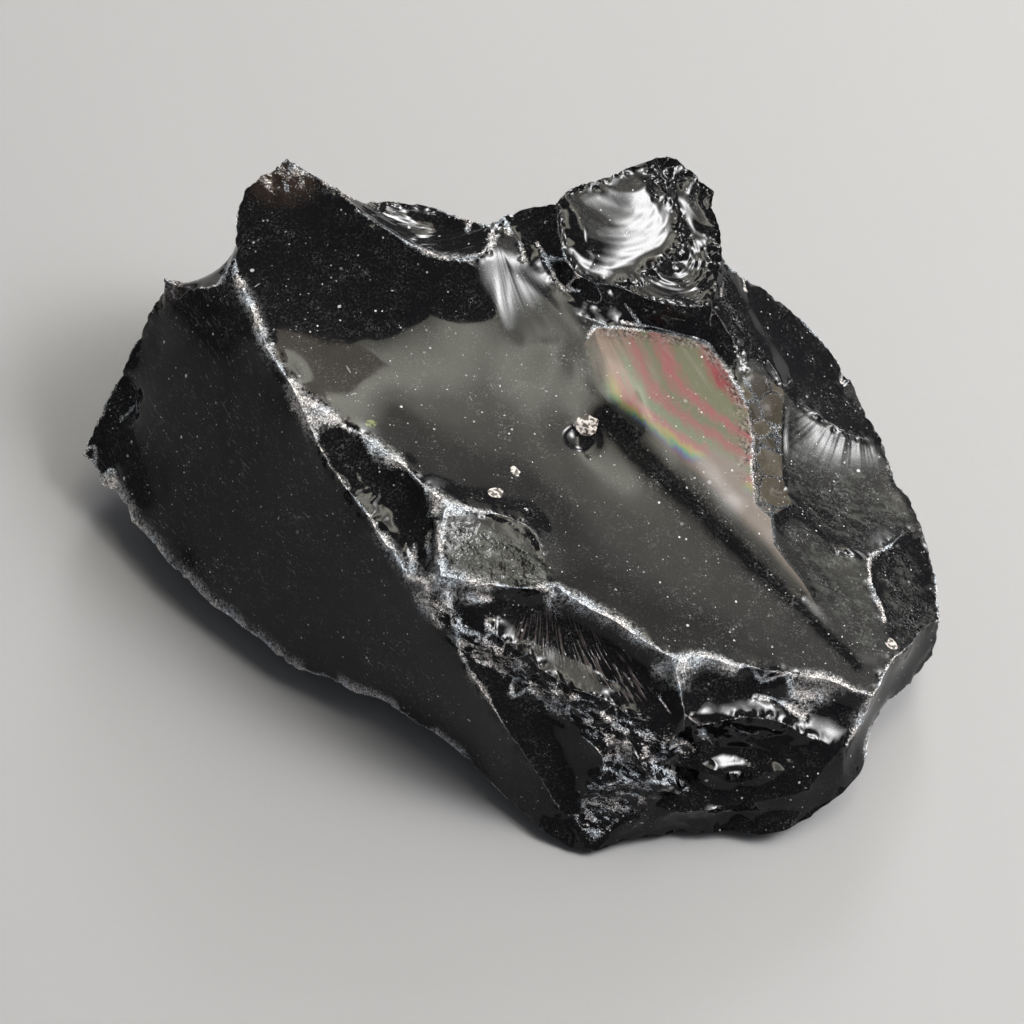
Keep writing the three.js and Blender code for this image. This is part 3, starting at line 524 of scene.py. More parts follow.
def carve_skin(web):
    """Adds each fracture's own relief along the normals. Heights are in millimetres."""
    points, normals = web.points, web.normals()
    away = ridge_distance(web, 4.0)
    move = np.zeros(len(points))
    inner = soft_step(away, 0.0, 0.8)
    move += 0.05 * waves(points, 7.0, 1) * inner
    move += 0.012 * waves(points, 2.4, 2) * inner

    def ripples(outline, centre, spacing, height, start, seed, wander):
        """Rings about a centre that grow from nothing at a start to full height further out."""
        mask = zone(points, normals, outline, 0.6)
        here = mask > 0
        p = points[here]
        reach = reach_from(p, centre)
        phase = 2 * math.pi * reach / spacing + wander * waves(p, 3.5, seed)
        profile = np.sin(phase + RIPPLE_SKEW * np.sin(phase))
        strength = 0.6 + 0.4 * waves(p, 2.2, seed + 1)
        strength *= soft_step(reach, start, start + RIPPLE_GROWTH)
        move[here] += height * mask[here] * profile * strength

    def roughen(mask, height, texture, size, seed, middle=0.0):
        """Adds a texture where a mask is above 0, up where it's above its middle and down below."""
        here = mask > 0
        move[here] += height * mask[here] * (texture(points[here], size, seed) - middle)

    for outline, places in SWELLINGS:
        move += swellings(points, places) * zone(points, normals, outline, 1.6)
    groove = np.exp(-((path_distance(points, GROOVE) / 1.3) ** 2))
    move -= 0.08 * groove * (normals[:, 2] > 0.5)
    out = plan_distance(points, PIT) / PIT_RADIUS
    pit = (out < 3.0) & (normals[:, 2] > 0.3)
    out = out[pit] + 0.10 * waves(points[pit], 1.1, 35)
    move[pit] += 0.02 * np.exp(-(((out - 1.1) / 0.2) ** 2)) - 0.26 * np.maximum(0.0, 1.0 - out**2)
    for ripple in RIPPLES:
        ripples(*ripple)
    roughen(zone(points, normals, CRUMPLE, 0.8), 0.08, waves, 1.9, 45)
    for number, (centre, reach) in enumerate(HORNS):
        near = reach_from(points, centre)
        roughen(1.0 - soft_step(near, 0.3 * reach, reach), 0.55, crags, 1.9, 91 + number, 0.5)
    roughen(zone(points, normals, RUBBLE, 0.5), 0.42, crags, 1.3, 51, 0.45)
    roughen(zone(points, normals, NOTCH, 0.8), 0.40, crags, 2.4, 55, 0.45)
    roughen(zone(points, normals, TILES, 0.4), 0.10, waves, 1.6, 61)
    foot = soft_step(inside_depth(points, FRONT_FOOT), 0.0, 1.0)
    roughen(foot * soft_step(12.0 - points[:, 2], 0.0, 3.0), 0.45, crags, 2.2, 57, 0.45)

    near = away < 1.1
    nick = np.zeros(len(points))
    nick[near] = np.maximum(0.0, waves(points[near], 0.9, 71) - 0.05)
    nick[near] += 0.6 * np.maximum(0.0, waves(points[near], 0.42, 72))
    low = soft_step(points[:, 2], 0.6, 1.6)
    front = soft_step(inside_depth(points, FRONT), *FRONT_EDGE)
    low *= (1.0 - 0.9 * groove) * (1.0 - 0.85 * front)
    move -= 0.42 * nick * (1.0 - soft_step(away, 0.1, 1.0)) * low
    web.points = points + normals * move[:, None]
    web.points[:, 2] = np.maximum(web.points[:, 2], 0.0)
    return away


def mesh_from(web, name):
    mesh = bpy.data.meshes.new(name)
    mesh.from_pydata((web.points * MM).tolist(), [], web.triangles.tolist())
    mesh.validate()
    mesh.update()
    mesh.shade_smooth()
    mesh.set_sharp_from_angle(angle=SHARP_ANGLE)
    return mesh


def lay_attribute(mesh, name, values):
    layer = mesh.attributes.new(name, "FLOAT", "POINT")
    layer.data.foreach_set("value", np.asarray(values, np.float32))


# ------------------------------------------------------------------ the skin's marks


def film_order(points):
    """0 at the flake's brim and 1 at its far corner, in layers that bend."""
    low = LOW_LAYERS[1] - points @ np.array(LOW_LAYERS[0])
    steep = STEEP_LAYERS[1] - points @ np.array(STEEP_LAYERS[0])
    height = (low + steep + np.hypot(low - steep, LAYER_BEND)) / 2.0
    height += 0.25 * waves(points, 4.0, 81) + 0.10 * waves(points, 1.6, 82)
    return np.clip((LAYER_TOP - height) / (LAYER_TOP - LAYER_FOOT), 0.0, 1.0)


MARKS = (
    "away", "crumbly", "film", "flake", "bank", "tail", "tiles", "rubble", "chip", "hackles", "burst",
    "bowl", "crumple", "lip", "fan", "dusty", "side", "wall", "horn", "fade", "groove",
)


def skin_marks(web, away):
    """How strongly each point of the skin takes each finish. Away, flake and tiles are distances."""
    points, normals = web.points, web.normals()
    outlines = {
        "tail": (TAIL, 1.6), "chip": (CHIP, 0.6), "hackles": (HACKLES, 0.8), "burst": (STARBURST, 1.2),
        "bowl": (BOWL, 0.5), "crumple": (CRUMPLE, 0.5), "lip": (LIP, 0.5), "fan": (FAN, 0.6),
        "rubble": (RUBBLE, 0.8), "wall": (WALL, 1.5),
    }
    marks = {name: zone(points, normals, *outline) for name, outline in outlines.items()}
    front = soft_step(inside_depth(points, FRONT), *FRONT_EDGE)
    marks["away"] = np.minimum(away + 0.5 * front, 2.0)
    shell = np.maximum(inside_depth(points, BOWL), inside_depth(points, CRUMPLE))
    crumbly = 1.0 - np.maximum(0.85 * soft_step(shell, -1.0, 0.0), 0.4 * front)
    crumbly *= 0.2 + 0.5 * soft_step(waves(points, 5.0, 87), -0.25, 0.35)
    for path, more in ((CREST, 1.4), (FORK, 1.9), (BROW, 2.4), (LEFT_FOOT, 2.8), (LIP_EDGE, 1.8),
                       (GROOVE, -0.9), (BRIM, -0.9), (THORN, -1.0)):
        crumbly *= 1.0 + more * np.exp(-((path_distance(points, path) / 1.6) ** 2))
    marks["crumbly"] = crumbly
    horn = np.zeros(len(points))
    for centre, reach in HORNS[:2]:
        near = reach_from(points, centre)
        horn = np.maximum(horn, 1.0 - soft_step(near, 0.3 * reach, reach))
    marks["horn"] = horn
    # The groove mark carries painted shade: where it is full the glass loses its reflection in a dark line
    # down the valley.
    stray = 0.25 * waves(points, 1.1, 85)
    width = np.clip(1.3 - 0.04 * (points[:, 0] - 10.0), 0.45, 1.3)
    groove = np.exp(-((np.maximum(0.0, path_distance(points, GROOVE) + stray) / width) ** 2))
    marks["groove"] = np.minimum(1.5 * groove, 1.0) * (normals[:, 2] > 0.2)
    x, y = points[:, 0], points[:, 1]
    marks["fade"] = soft_step(x - 0.35 * (y - 7.0), 8.0, 10.2)
    marks["crumple"] *= soft_step(21.5 - y, -1.0, 1.5)
    marks["tail"] = np.maximum(marks["tail"], soft_step(-y, 0.0, 2.6))
    marks["film"] = film_order(points)
    brim = path_distance(points, BRIM)
    marks["bank"] = soft_step(brim, 0.2, 1.7)
    for name, outline in (("flake", FLAKE), ("tiles", TILES)):
        depth = np.clip(inside_depth(points, outline), -2.0, 2.0)
        marks[name] = np.where(normals[:, 2] > UPWARD, depth, -2.0)
    marks["dusty"] = 0.9 * np.exp(-brim / 2.5) * (marks["flake"] < 0)
    marks["dusty"] = np.maximum(marks["dusty"], zone(points, normals, RAMP, 0.8))
    # The side faces: the east facet, the fan and the terrace. They take more dust, and in the glass a
    # painted sheen that lightens them.
    sides = [zone(points, normals, outline, 1.2) for outline in (EAST_FACET, FAN, TERRACE)]
    marks["side"] = np.max(sides, axis=0)
    marks["dusty"] = np.maximum(marks["dusty"], marks["side"])
    return marks


# ------------------------------------------------------------------ materials


class Nodes:
    """A short way to write a material's node tree."""

    def __init__(self, name):
        self.material = bpy.data.materials.new(name)
        self.material.use_nodes = True
        self.tree = self.material.node_tree
        self.tree.nodes.clear()
        self.place = self.add("ShaderNodeTexCoord").outputs["Object"]

    def add(self, kind, inputs=None, **settings):
        node = self.tree.nodes.new(kind)
        for key, value in settings.items():
            setattr(node, key, value)
        for key, value in (inputs or {}).items():
            self.feed(node.inputs[key], value)
        return node

    def feed(self, socket, value):
        if isinstance(value, bpy.types.NodeSocket):
            self.tree.links.new(value, socket)
        else:
            socket.default_value = value

    def math(self, operation, a, b=0.0, c=0.0, clamp=False):
        node = self.add("ShaderNodeMath", {0: a, 1: b, 2: c}, operation=operation, use_clamp=clamp)
        return node.outputs[0]

    def times(self, first, *others):
        """All the values multiplied together."""
        for value in others:
            first = self.math("MULTIPLY", first, value)
        return first

    def most(self, first, *others):
        """The highest of the values."""
        for value in others:
            first = self.math("MAXIMUM", first, value)
        return first

    def ramp(self, value, low, high, to_low=0.0, to_high=1.0):
        node = self.add("ShaderNodeMapRange", {
            "Value": value, "From Min": low, "From Max": high, "To Min": to_low, "To Max": to_high,
        }, interpolation_type="SMOOTHSTEP")
        return node.outputs["Result"]

    def mix(self, share, first, second):
        """A share of the way from one colour to another."""
        return self.add("ShaderNodeMix", {0: share, 6: first, 7: second}, data_type="RGBA").outputs[2]

    def blend(self, share, first, second):
        """A share of the way from one number to another."""
        return self.add("ShaderNodeMix", {0: share, 2: first, 3: second}, data_type="FLOAT").outputs[0]

    def cloud(self, place, scale, detail, rough=0.5):
        return self.add("ShaderNodeTexNoise", {
            "Vector": place, "Scale": scale, "Detail": detail, "Roughness": rough,
        }).outputs

    def noise(self, size, detail=2.0, rough=0.5, drawn=None, turn=(0, 0, 0), seed=0.0):
        """Noise whose lumps are about a size, in millimetres, across."""
        return self.cloud(self.spread(drawn, turn, seed), 1.0 / (size * MM), detail, rough)["Fac"]

    def spread(self, drawn=None, turn=(0, 0, 0), seed=0.0):
        """The place turned, then drawn out by a length along each axis, and moved by a seed."""
        node = self.add("ShaderNodeMapping", {
            "Vector": self.place, "Rotation": turn, "Scale": drawn or (1, 1, 1),
            "Location": (seed * 0.1, seed * 0.037, seed * 0.061),
        }, vector_type="TEXTURE")
        return node.outputs["Vector"]

    def wobbled(self, amount, size, drawn=None, turn=(0, 0, 0), seed=0.0):
        """The place, pushed about by noise so that round things drawn with it turn ragged."""
        place = self.spread(drawn, turn, seed)
        push = self.cloud(place, 1.0 / (size * MM), 1.0)["Color"]
        push = self.vector("SUBTRACT", push, (0.5, 0.5, 0.5))
        push = self.vector("SCALE", push, scale=2.0 * amount * MM)
        return self.vector("ADD", place, push)

    def vector(self, operation, first, second=(0, 0, 0), scale=1.0):
        node = self.add("ShaderNodeVectorMath", {0: first, 1: second, 3: scale}, operation=operation)
        return node.outputs["Value" if operation in ("DISTANCE", "LENGTH") else "Vector"]

    def grains(self, size, place, feature="F1"):
        """Broken grains about a size, in millimetres, across."""
        return self.add("ShaderNodeTexVoronoi", {
            "Vector": place, "Scale": 1.0 / (size * MM), "Randomness": 1.0,
        }, feature=feature).outputs

    def cells(self, size, place=None, seed=0.0):
        """Gives each of many grains two lots of luck and a random colour."""
        colour = self.grains(size, place or self.spread(seed=seed))["Color"]
        luck = self.add("ShaderNodeSeparateColor", {"Color": colour}).outputs
        return luck["Red"], luck["Green"], colour

    def seams(self, size, place):
        """Distance to the lines between grains, as a share of their size."""
        return self.grains(size, place, "DISTANCE_TO_EDGE")["Distance"]

    def specks(self, spacing, radius, place):
        """1 on grains of up to a radius, scattered at a spacing in millimetres, and their lucks."""
        grain = self.grains(spacing, place)
        luck = self.add("ShaderNodeSeparateColor", {"Color": grain["Color"]}).outputs
        most = radius / spacing
        size = self.math("MULTIPLY_ADD", luck["Red"], 0.7 * most, 0.3 * most)
        shown = self.math("LESS_THAN", grain["Distance"], size)
        return shown, luck["Green"], luck["Blue"]

    def reach(self, centre, place=None):
        """Distance from a centre given in millimetres, in metres."""
        return self.vector("DISTANCE", place or self.place, tuple(v * MM for v in centre))

    def near(self, centre, radius, place):
        """1 within a radius of a centre, both in millimetres."""
        return self.math("LESS_THAN", self.reach(centre, place), radius * MM)

    def rays(self, centre, across, along, seed=0.0):
        """Streaks that run out from a centre. Across is their width 10 mm out, along their length."""
        away = self.vector("SUBTRACT", self.place, tuple(v * MM for v in centre))
        angle = self.math("ARCTAN2", self.parted(away, "Y"), self.parted(away, "X"))
        turn = self.times(angle, 10.0 / across)
        out = self.times(self.reach(centre), 1.0 / (along * MM))
        spot = self.add("ShaderNodeCombineXYZ", {"X": turn, "Y": out, "Z": seed}).outputs[0]
        return self.cloud(spot, 1.0, 2.0)["Fac"]

    def rings(self, centre, spacing, wander, seed=0.0):
        """0 to 1 and back in rings about a centre, which wander by a share of their spacing."""
        phase = self.times(self.reach(centre), 2 * math.pi / (spacing * MM))
        stray = self.times(self.noise(2.5 * spacing, 2.0, seed=seed), 2 * math.pi * wander)
        wave = self.math("SINE", self.math("ADD", phase, stray))
        return self.math("MULTIPLY_ADD", wave, 0.5, 0.5)

    def joined(self, value):
        """One number as all three parts of a vector."""
        return self.add("ShaderNodeCombineXYZ", {"X": value, "Y": value, "Z": value}).outputs[0]

    def parted(self, vector, part):
        return self.add("ShaderNodeSeparateXYZ", {0: vector}).outputs[part]

    def geometry(self, name):
        return self.add("ShaderNodeNewGeometry").outputs[name]

    def attribute(self, name):
        return self.add("ShaderNodeAttribute", attribute_name=name).outputs["Fac"]

    def colours(self, value, stops):
        node = self.add("ShaderNodeValToRGB", {"Fac": value})
        band = node.color_ramp
        while len(band.elements) < len(stops):
            band.elements.new(0.5)
        for element, (at, colour) in zip(band.elements, stops):
            element.position = at
            element.color = (*colour, 1.0)
        return node.outputs["Color"]

    def glow(self, colour, strength, clear=False):
        """A panel's glow. A clear panel is seen through."""
        shader = self.add("ShaderNodeEmission", {"Color": colour, "Strength": strength}).outputs[0]
        if clear:
            air = self.add("ShaderNodeBsdfTransparent").outputs[0]
            shader = self.add("ShaderNodeAddShader", {0: shader, 1: air}).outputs[0]
        return self.close(shader)

    def close(self, shader):
        output = self.add("ShaderNodeOutputMaterial")
        self.tree.links.new(shader, output.inputs["Surface"])
        return self.material

    def finish(self, colour, rough, height=None, tilt=None, **fixed):
        """The shader and the output. Heights are in millimetres and a tilt is a new normal."""
        inputs = {"Base Color": colour, "Roughness": rough}
        inputs.update(fixed)
        shader = self.add("ShaderNodeBsdfPrincipled", inputs)
        if height is not None:
            bump = self.add("ShaderNodeBump", {"Height": height, "Distance": MM, "Strength": 1.0})
            if tilt is not None:
                self.feed(bump.inputs["Normal"], tilt)
            tilt = bump.outputs["Normal"]
        if tilt is not None:
            self.feed(shader.inputs["Normal"], tilt)
        return self.close(shader.outputs["BSDF"])


TILE_SIZE = 2.9  # across a tile of the tiled strip, in millimetres
CHIP_AND_GLINT_REACH = 2.2  # round the middle of each stuck chip and of the painted glint beside the pit, in millimetres
# The film's colours, from the flake's brim to its far corner.
FILM = [
    (0.000, (0.012, 0.010, 0.009)), (0.025, (0.040, 0.025, 0.016)), (0.050, (0.140, 0.065, 0.028)),
    (0.080, (0.120, 0.028, 0.080)), (0.110, (0.060, 0.045, 0.170)), (0.135, (0.040, 0.110, 0.190)),
    (0.163, (0.080, 0.190, 0.080)), (0.195, (0.210, 0.180, 0.060)), (0.250, (0.210, 0.080, 0.085)),
    (0.335, (0.085, 0.120, 0.070)), (0.440, (0.170, 0.048, 0.052)), (0.530, (0.065, 0.085, 0.042)),
    (0.625, (0.180, 0.042, 0.048)), (0.700, (0.075, 0.080, 0.040)), (0.820, (0.070, 0.078, 0.036)),
    (0.900, (0.150, 0.016, 0.022)), (1.000, (0.070, 0.018, 0.020)),
]


def flake_colours(n, marks, glass):
    """The flake's film: a thin rainbow at its brim, then red and green bands, then a bare tail."""
    stray = n.noise(0.45, 4.0, 0.65, (1, 3.5, 1), (0, 0, 0.36), 5.0)
    stray = n.math("MULTIPLY_ADD", stray, 0.20, -0.10)
    bands = n.colours(n.math("ADD", marks["film"], stray), FILM)
    streak = n.rays((3.0, 30.0, 22.0), 0.45, 9.0, 5.0)
    bands = n.mix(n.ramp(streak, 0.56, 0.75, 0.0, 0.35), bands, (0.17, 0.145, 0.13, 1))
    brown = n.mix(n.ramp(streak, 0.42, 0.64), (0.035, 0.024, 0.017, 1), (0.14, 0.095, 0.07, 1))
    bands = n.mix(marks["fade"], brown, bands)
    bands = n.mix(0.13, bands, (0.23, 0.20, 0.18, 1))
    bare = n.mix(n.noise(2.0, 3.0, 0.6, seed=14.0), (0.125, 0.105, 0.09, 1), (0.17, 0.14, 0.125, 1))
    bands = n.mix(marks["tail"], bands, bare)
    # Near the brim the film fades to near black: painted shade on the bank, which reflects nothing bright.
    bands = n.mix(marks["bank"], (0.012, 0.012, 0.010, 1), bands)
    crust = n.times(n.ramp(marks["flake"], 1.8, 0.4), n.ramp(n.noise(1.1, 3.0), 0.38, 0.56))
    crust = n.times(crust, n.ramp(marks["film"], 0.1, 0.4, 0.0, 0.9))
    bark = n.ramp(n.noise(0.35, 3.0, 0.7, seed=5.5), 0.4, 0.62)
    bark = n.mix(bark, (0.02, 0.013, 0.01, 1), (0.20, 0.16, 0.145, 1))
    bands = n.mix(crust, bands, bark)
    return n.mix(n.ramp(marks["flake"], 0.0, 0.15), glass, bands)


def tile_colours(n, marks, glass):
    """Flat brown tiles of glass with dark cracks between them. Gives the crumbs of the cracks too."""
    place = n.wobbled(0.35, 1.1, seed=12.0)
    seams = n.seams(TILE_SIZE, place)
    _, tone, _ = n.cells(TILE_SIZE, place)
    tile = n.mix(tone, (0.022, 0.018, 0.013, 1), (0.075, 0.064, 0.048, 1))
    cloud = n.ramp(n.noise(0.7, 3.0, 0.7, seed=12.5), 0.35, 0.65, 0.0, 0.5)
    tile = n.mix(cloud, tile, (0.030, 0.026, 0.020, 1))
    tile = n.mix(n.ramp(seams, 0.077, 0.019), tile, (0.004, 0.004, 0.004, 1))
    splits = n.times(n.ramp(seams, 0.152, 0.038), n.ramp(marks["tiles"], -0.3, 0.2, 0.0, 0.75))
    return n.mix(n.ramp(marks["tiles"], 0.0, 0.2), glass, tile), splits


def crumb_layer(n, marks, splits):
    """Crushed grains along the ridges: how white each place is, and which way its grain leans."""
    wide = n.ramp(n.noise(1.3, 4.0, 0.7, seed=2.0), 0.3, 0.7, 0.25, 1.0)
    wide = n.times(n.most(marks["crumbly"], 0.03), wide)
    chance = n.ramp(n.math("DIVIDE", marks["away"], wide), 1.25, 0.0)
    seam = n.math("ABSOLUTE", marks["flake"])
    seam = n.times(n.ramp(seam, 0.45, 0.05), n.ramp(marks["bank"], 0.5, 1.0, 0.0, 0.9))
    streaks = n.ramp(n.noise(0.7, 4.0, 0.7, (1, 3, 1), (0, 0, 0.86), 15.0), 0.42, 0.58, 0.05, 1.0)
    patch = n.times(n.most(marks["rubble"], marks["horn"]), streaks)
    chance = n.most(chance, seam, patch, splits)
    least = n.math("MULTIPLY_ADD", chance, -0.36, 0.77)
    grain = n.noise(0.085, 2.0, 0.8, seed=1.0)
    shown = n.ramp(grain, least, n.math("ADD", least, 0.05))
    shown = n.times(shown, n.math("GREATER_THAN", chance, 0.04))
    fresh = n.ramp(n.most(marks["crumbly"], patch), 0.12, 0.6, 0.15, 1.0)
    shown = n.times(shown, fresh)
    luck, tone, tint = n.cells(0.11, seed=2.0)
    heap = n.ramp(n.noise(0.45, 2.0, 0.7, seed=3.0), 0.35, 0.65, 0.6, 1.8)
    bright = n.times(n.math("MULTIPLY_ADD", n.math("POWER", tone, 1.8), 1.1, 0.12), heap)
    lean = n.vector("SCALE", n.vector("SUBTRACT", tint, (0.5, 0.5, 0.5)), scale=1.1)
    lean = n.vector("MULTIPLY", lean, n.joined(n.times(shown, luck)))
    tilt = n.vector("NORMALIZE", n.vector("ADD", n.geometry("Normal"), lean))
    return n.math("MULTIPLY", shown, bright, clamp=True), tilt


def dust_layer(n, marks, ragged):
    """Fine dust, smudges and lint on the faces that look up: how much of it lies at each place."""
    level = n.ramp(n.parted(n.geometry("Normal"), "Z"), 0.0, 0.8, 0.55, 1.0)
    amount = n.ramp(n.noise(5.0, 3.0, 0.65, seed=7.0), 0.36, 0.66, 0.4, 1.3)
    amount = n.times(n.most(amount, marks["dusty"]), level)
    clump = n.ramp(n.noise(1.5, 4.0, 0.75, seed=8.0), 0.44, 0.66, 0.2, 1.0)
    amount = n.times(amount, clump)
    smudge = n.ramp(n.noise(0.24, 4.0, 0.85, seed=8.2), 0.48, 0.72, 0.0, 0.15)
    fleck = n.ramp(n.noise(0.16, 3.0, 0.75, seed=8.5), 0.62, 0.70, 0.0, 0.45)
    smudge = n.times(smudge, n.math("MULTIPLY_ADD", marks["dusty"], 1.2, 1.0))
    dust = n.times(n.most(smudge, fleck), amount)
    bruise = n.times(n.ramp(marks["away"], 1.6, 0.2), n.ramp(marks["crumbly"], 1.1, 1.8))
    bruise = n.times(bruise, n.ramp(n.noise(0.3, 4.0, 0.8, seed=8.8), 0.42, 0.68, 0.0, 0.8))
    dust = n.most(dust, bruise)
    for spacing, radius, share in ((0.38, 0.085, 0.45), (0.8, 0.125, 0.6), (2.0, 0.20, 0.8)):
        speck, luck, tone = n.specks(spacing, radius, ragged)
        shown = n.math("LESS_THAN", luck, n.times(amount, share))
        white = n.math("MULTIPLY_ADD", n.math("POWER", tone, 1.6), 0.85, 0.25)
        dust = n.most(dust, n.times(n.times(speck, shown), white))
    for turn, seed in ((0.5, 9.0), (-0.9, 11.0), (1.5, 14.0)):
        place = n.wobbled(0.12, 0.8, (1, 8, 1), (0, 0, turn), seed)
        lint, luck, tone = n.specks(0.9, 0.08, place)
        shown = n.math("LESS_THAN", luck, n.times(amount, 0.22))
        white = n.math("MULTIPLY_ADD", tone, 0.7, 0.2)
        dust = n.most(dust, n.times(n.times(lint, shown), white))
    return n.math("MINIMUM", dust, 1.0)


def on_skin(web, spot):
    """The place on the skin's upper side that lies nearest a spot in plan."""
    away = plan_distance(web.points, spot) - 0.05 * web.points[:, 2]
    return tuple(web.points[np.argmin(away)])


def wall_colours(n, marks, glass):
    """Long grey flow streaks on the left wall. Their grey is painted light, raised to make up for the
    shade the wall lies in.
    """
    streak = n.ramp(n.noise(0.22, 3.0, 0.7, (1, 6, 1), (0, 0, 0.49), 16.0), 0.58, 0.70)
    streak = n.times(streak, n.ramp(n.noise(6.0, 2.0, seed=17.0), 0.42, 0.6, 0.1, 1.0))
    return n.mix(n.times(streak, marks["wall"]), glass, (0.13, 0.125, 0.135, 1))


def chip_layer(n, web, glass, grit):
    """Small white lumps stuck to the skin, a painted glint beside the pit drawn like them, and a green
    lump. Gives the colour and where the white is.
    """
    place = n.wobbled(0.5, 0.9)
    chips_and_pit_glint = n.most(*(n.near(on_skin(web, spot), radius, place) for spot, radius in WHITE_CHIPS_AND_PIT_GLINT))
    white = n.mix(n.ramp(grit, 0.4, 0.6), (0.06, 0.05, 0.045, 1), (0.55, 0.50, 0.47, 1))
    colour = n.mix(chips_and_pit_glint, glass, white)
    moss = n.mix(n.ramp(grit, 0.35, 0.6), (0.02, 0.025, 0.008, 1), (0.13, 0.15, 0.05, 1))
    spot, radius = GREEN_CHIP
    green = n.near(on_skin(web, spot), radius, n.wobbled(0.35, 0.4))
    return n.mix(green, colour, moss), chips_and_pit_glint


def hackle_rays(n, marks):
    """The fine ribs that fan out under the brow."""
    hackle = n.rays((3.4, -11.0, 19.0), 0.28, 3.0, 2.0)
    return n.times(n.ramp(hackle, 0.52, 0.62), marks["hackles"])


def glass_relief(n, marks, height):
    """Adds the fine relief of each fracture to a height, in millimetres."""
    for mark, pattern, rise in (
        ("burst", n.rays((-1.3, 20.1, 25.0), 2.0, 24.0, 1.0), 0.07),
        ("bowl", n.rays((0.0, 36.0, 26.0), 1.0, 16.0, 3.0), 0.02),
        ("chip", n.noise(1.3, 3.0, 0.6, seed=19.0), 0.30),
        ("crumple", n.rings((14.9, 19.9, 21.0), 0.62, 0.35, 4.0), 0.03),
        ("lip", n.rings((-6.5, 31.0, 27.0), 0.45, 1.0, 5.0), 0.010),
        ("fan", n.rays((31.5, 12.0, 12.0), 1.6, 20.0, 6.0), 0.12),
        ("hackles", hackle_rays(n, marks), 0.04),
    ):
        height = n.math("ADD", height, n.times(pattern, rise, marks[mark]))
    return height


def glass_material(web, name, busy):
    """Black natural glass: glossy, dusty and crumbed white along its ridges.

    Busy glass also has what only some fractures have: the tiles, the flake's film of colours, the hackles,
    the amber tips, the white lumps stuck to it with a painted glint beside the pit, and the fine relief.
    """
    n = Nodes(name)
    marks = {mark: n.attribute(mark) for mark in MARKS}
    colour = n.mix(n.noise(9.0, 3.0), (0.0020, 0.0018, 0.0026, 1), (0.0052, 0.0048, 0.0050, 1))
    # Smoky grey: the chip's own clouded glass, and at half strength on the side faces (east facet, fan,
    # terrace) a painted sheen that lightens them as a reflection would.
    smoke_and_painted_sheen = n.noise(0.8, 5.0, 0.75, (1, 2.6, 1), (0, 0, 1.2), 3.5)
    smoke_and_painted_sheen = n.mix(n.ramp(smoke_and_painted_sheen, 0.46, 0.68), (0.004, 0.004, 0.004, 1), (0.09, 0.094, 0.085, 1))
    clouded_and_painted_sheen = n.most(marks["chip"], n.times(marks["side"], 0.5))
    colour = n.mix(n.times(clouded_and_painted_sheen, 0.8), colour, smoke_and_painted_sheen)
    splits, chips_and_pit_glint, height = 0.0, 0.0, None
    if busy:
        colour, splits = tile_colours(n, marks, colour)
        colour = flake_colours(n, marks, colour)
        colour = n.mix(n.times(hackle_rays(n, marks), 0.5), colour, (0.10, 0.08, 0.075, 1))
    colour = wall_colours(n, marks, colour)
    if busy:
        amber = n.mix(n.noise(0.8, 2.0, seed=18.0), (0.004, 0.003, 0.003, 1), (0.07, 0.045, 0.03, 1))
        colour = n.mix(n.times(marks["horn"], 0.7), colour, amber)
    dust = dust_layer(n, marks, n.wobbled(0.06, 0.15))
    # The dust's colour, paler on the left wall: painted light that makes up for the shade the wall lies
    # in.
    powder_painted_lighter_on_wall = n.mix(marks["wall"], (0.46, 0.46, 0.46, 1), (0.78, 0.77, 0.80, 1))
    colour = n.mix(dust, colour, powder_painted_lighter_on_wall)
    crumbs, tilt = crumb_layer(n, marks, splits)
    white = n.ramp(n.noise(2.5, 1.0, seed=6.0), 0.4, 0.6)
    white = n.mix(white, (0.64, 0.69, 0.76, 1), (0.80, 0.75, 0.73, 1))
    colour = n.mix(crumbs, colour, white)
    if busy:
        grit = n.noise(0.3, 1.0, seed=13.0)
        colour, chips_and_pit_glint = chip_layer(n, web, colour, grit)
        height = glass_relief(n, marks, n.times(chips_and_pit_glint, grit, 0.10))

    haze = n.ramp(n.noise(5.0, 2.0, 0.65, seed=4.0), 0.3, 0.8, 0.04, 0.10)
    rough = n.blend(marks["chip"], haze, 0.22)
    rough = n.blend(n.most(marks["fan"], marks["burst"]), rough, 0.20)
    rough = n.blend(n.most(crumbs, chips_and_pit_glint), rough, 0.30)
    rough = n.blend(dust, rough, 0.5)
    # Along the groove the specular level falls almost to nothing: painted shade, a dark line down the
    # valley.
    gloss = n.math("MULTIPLY_ADD", marks["groove"], -0.27, 0.28)
    return n.finish(colour, rough, height, tilt, **{"IOR": 1.5, "Specular IOR Level": gloss})


def busy_points(web, marks):
    """Which points of the skin need the busy glass."""
    busy = (marks["tiles"] > -0.35) | (marks["flake"] > -0.05)
    for name in ("burst", "bowl", "chip", "crumple", "lip", "fan", "hackles", "horn"):
        busy |= marks[name] > 0.0
    for spot, _ in WHITE_CHIPS_AND_PIT_GLINT + [GREEN_CHIP]:
        busy |= reach_from(web.points, on_skin(web, spot)) < CHIP_AND_GLINT_REACH
    return busy


def floor_material(settings):
    """Pale, plain and nearly matt, with the faintest cloud in it."""
    n = Nodes("pale_floor")
    base = tuple(settings.floor_colour)
    darker = tuple(FLOOR_CLOUD * v for v in base)
    colour = n.mix(n.noise(60.0, 3.0), (*base, 1), (*darker, 1))
    grain = n.times(n.noise(1.5, 3.0), 0.02)
    return n.finish(colour, 0.65, grain)


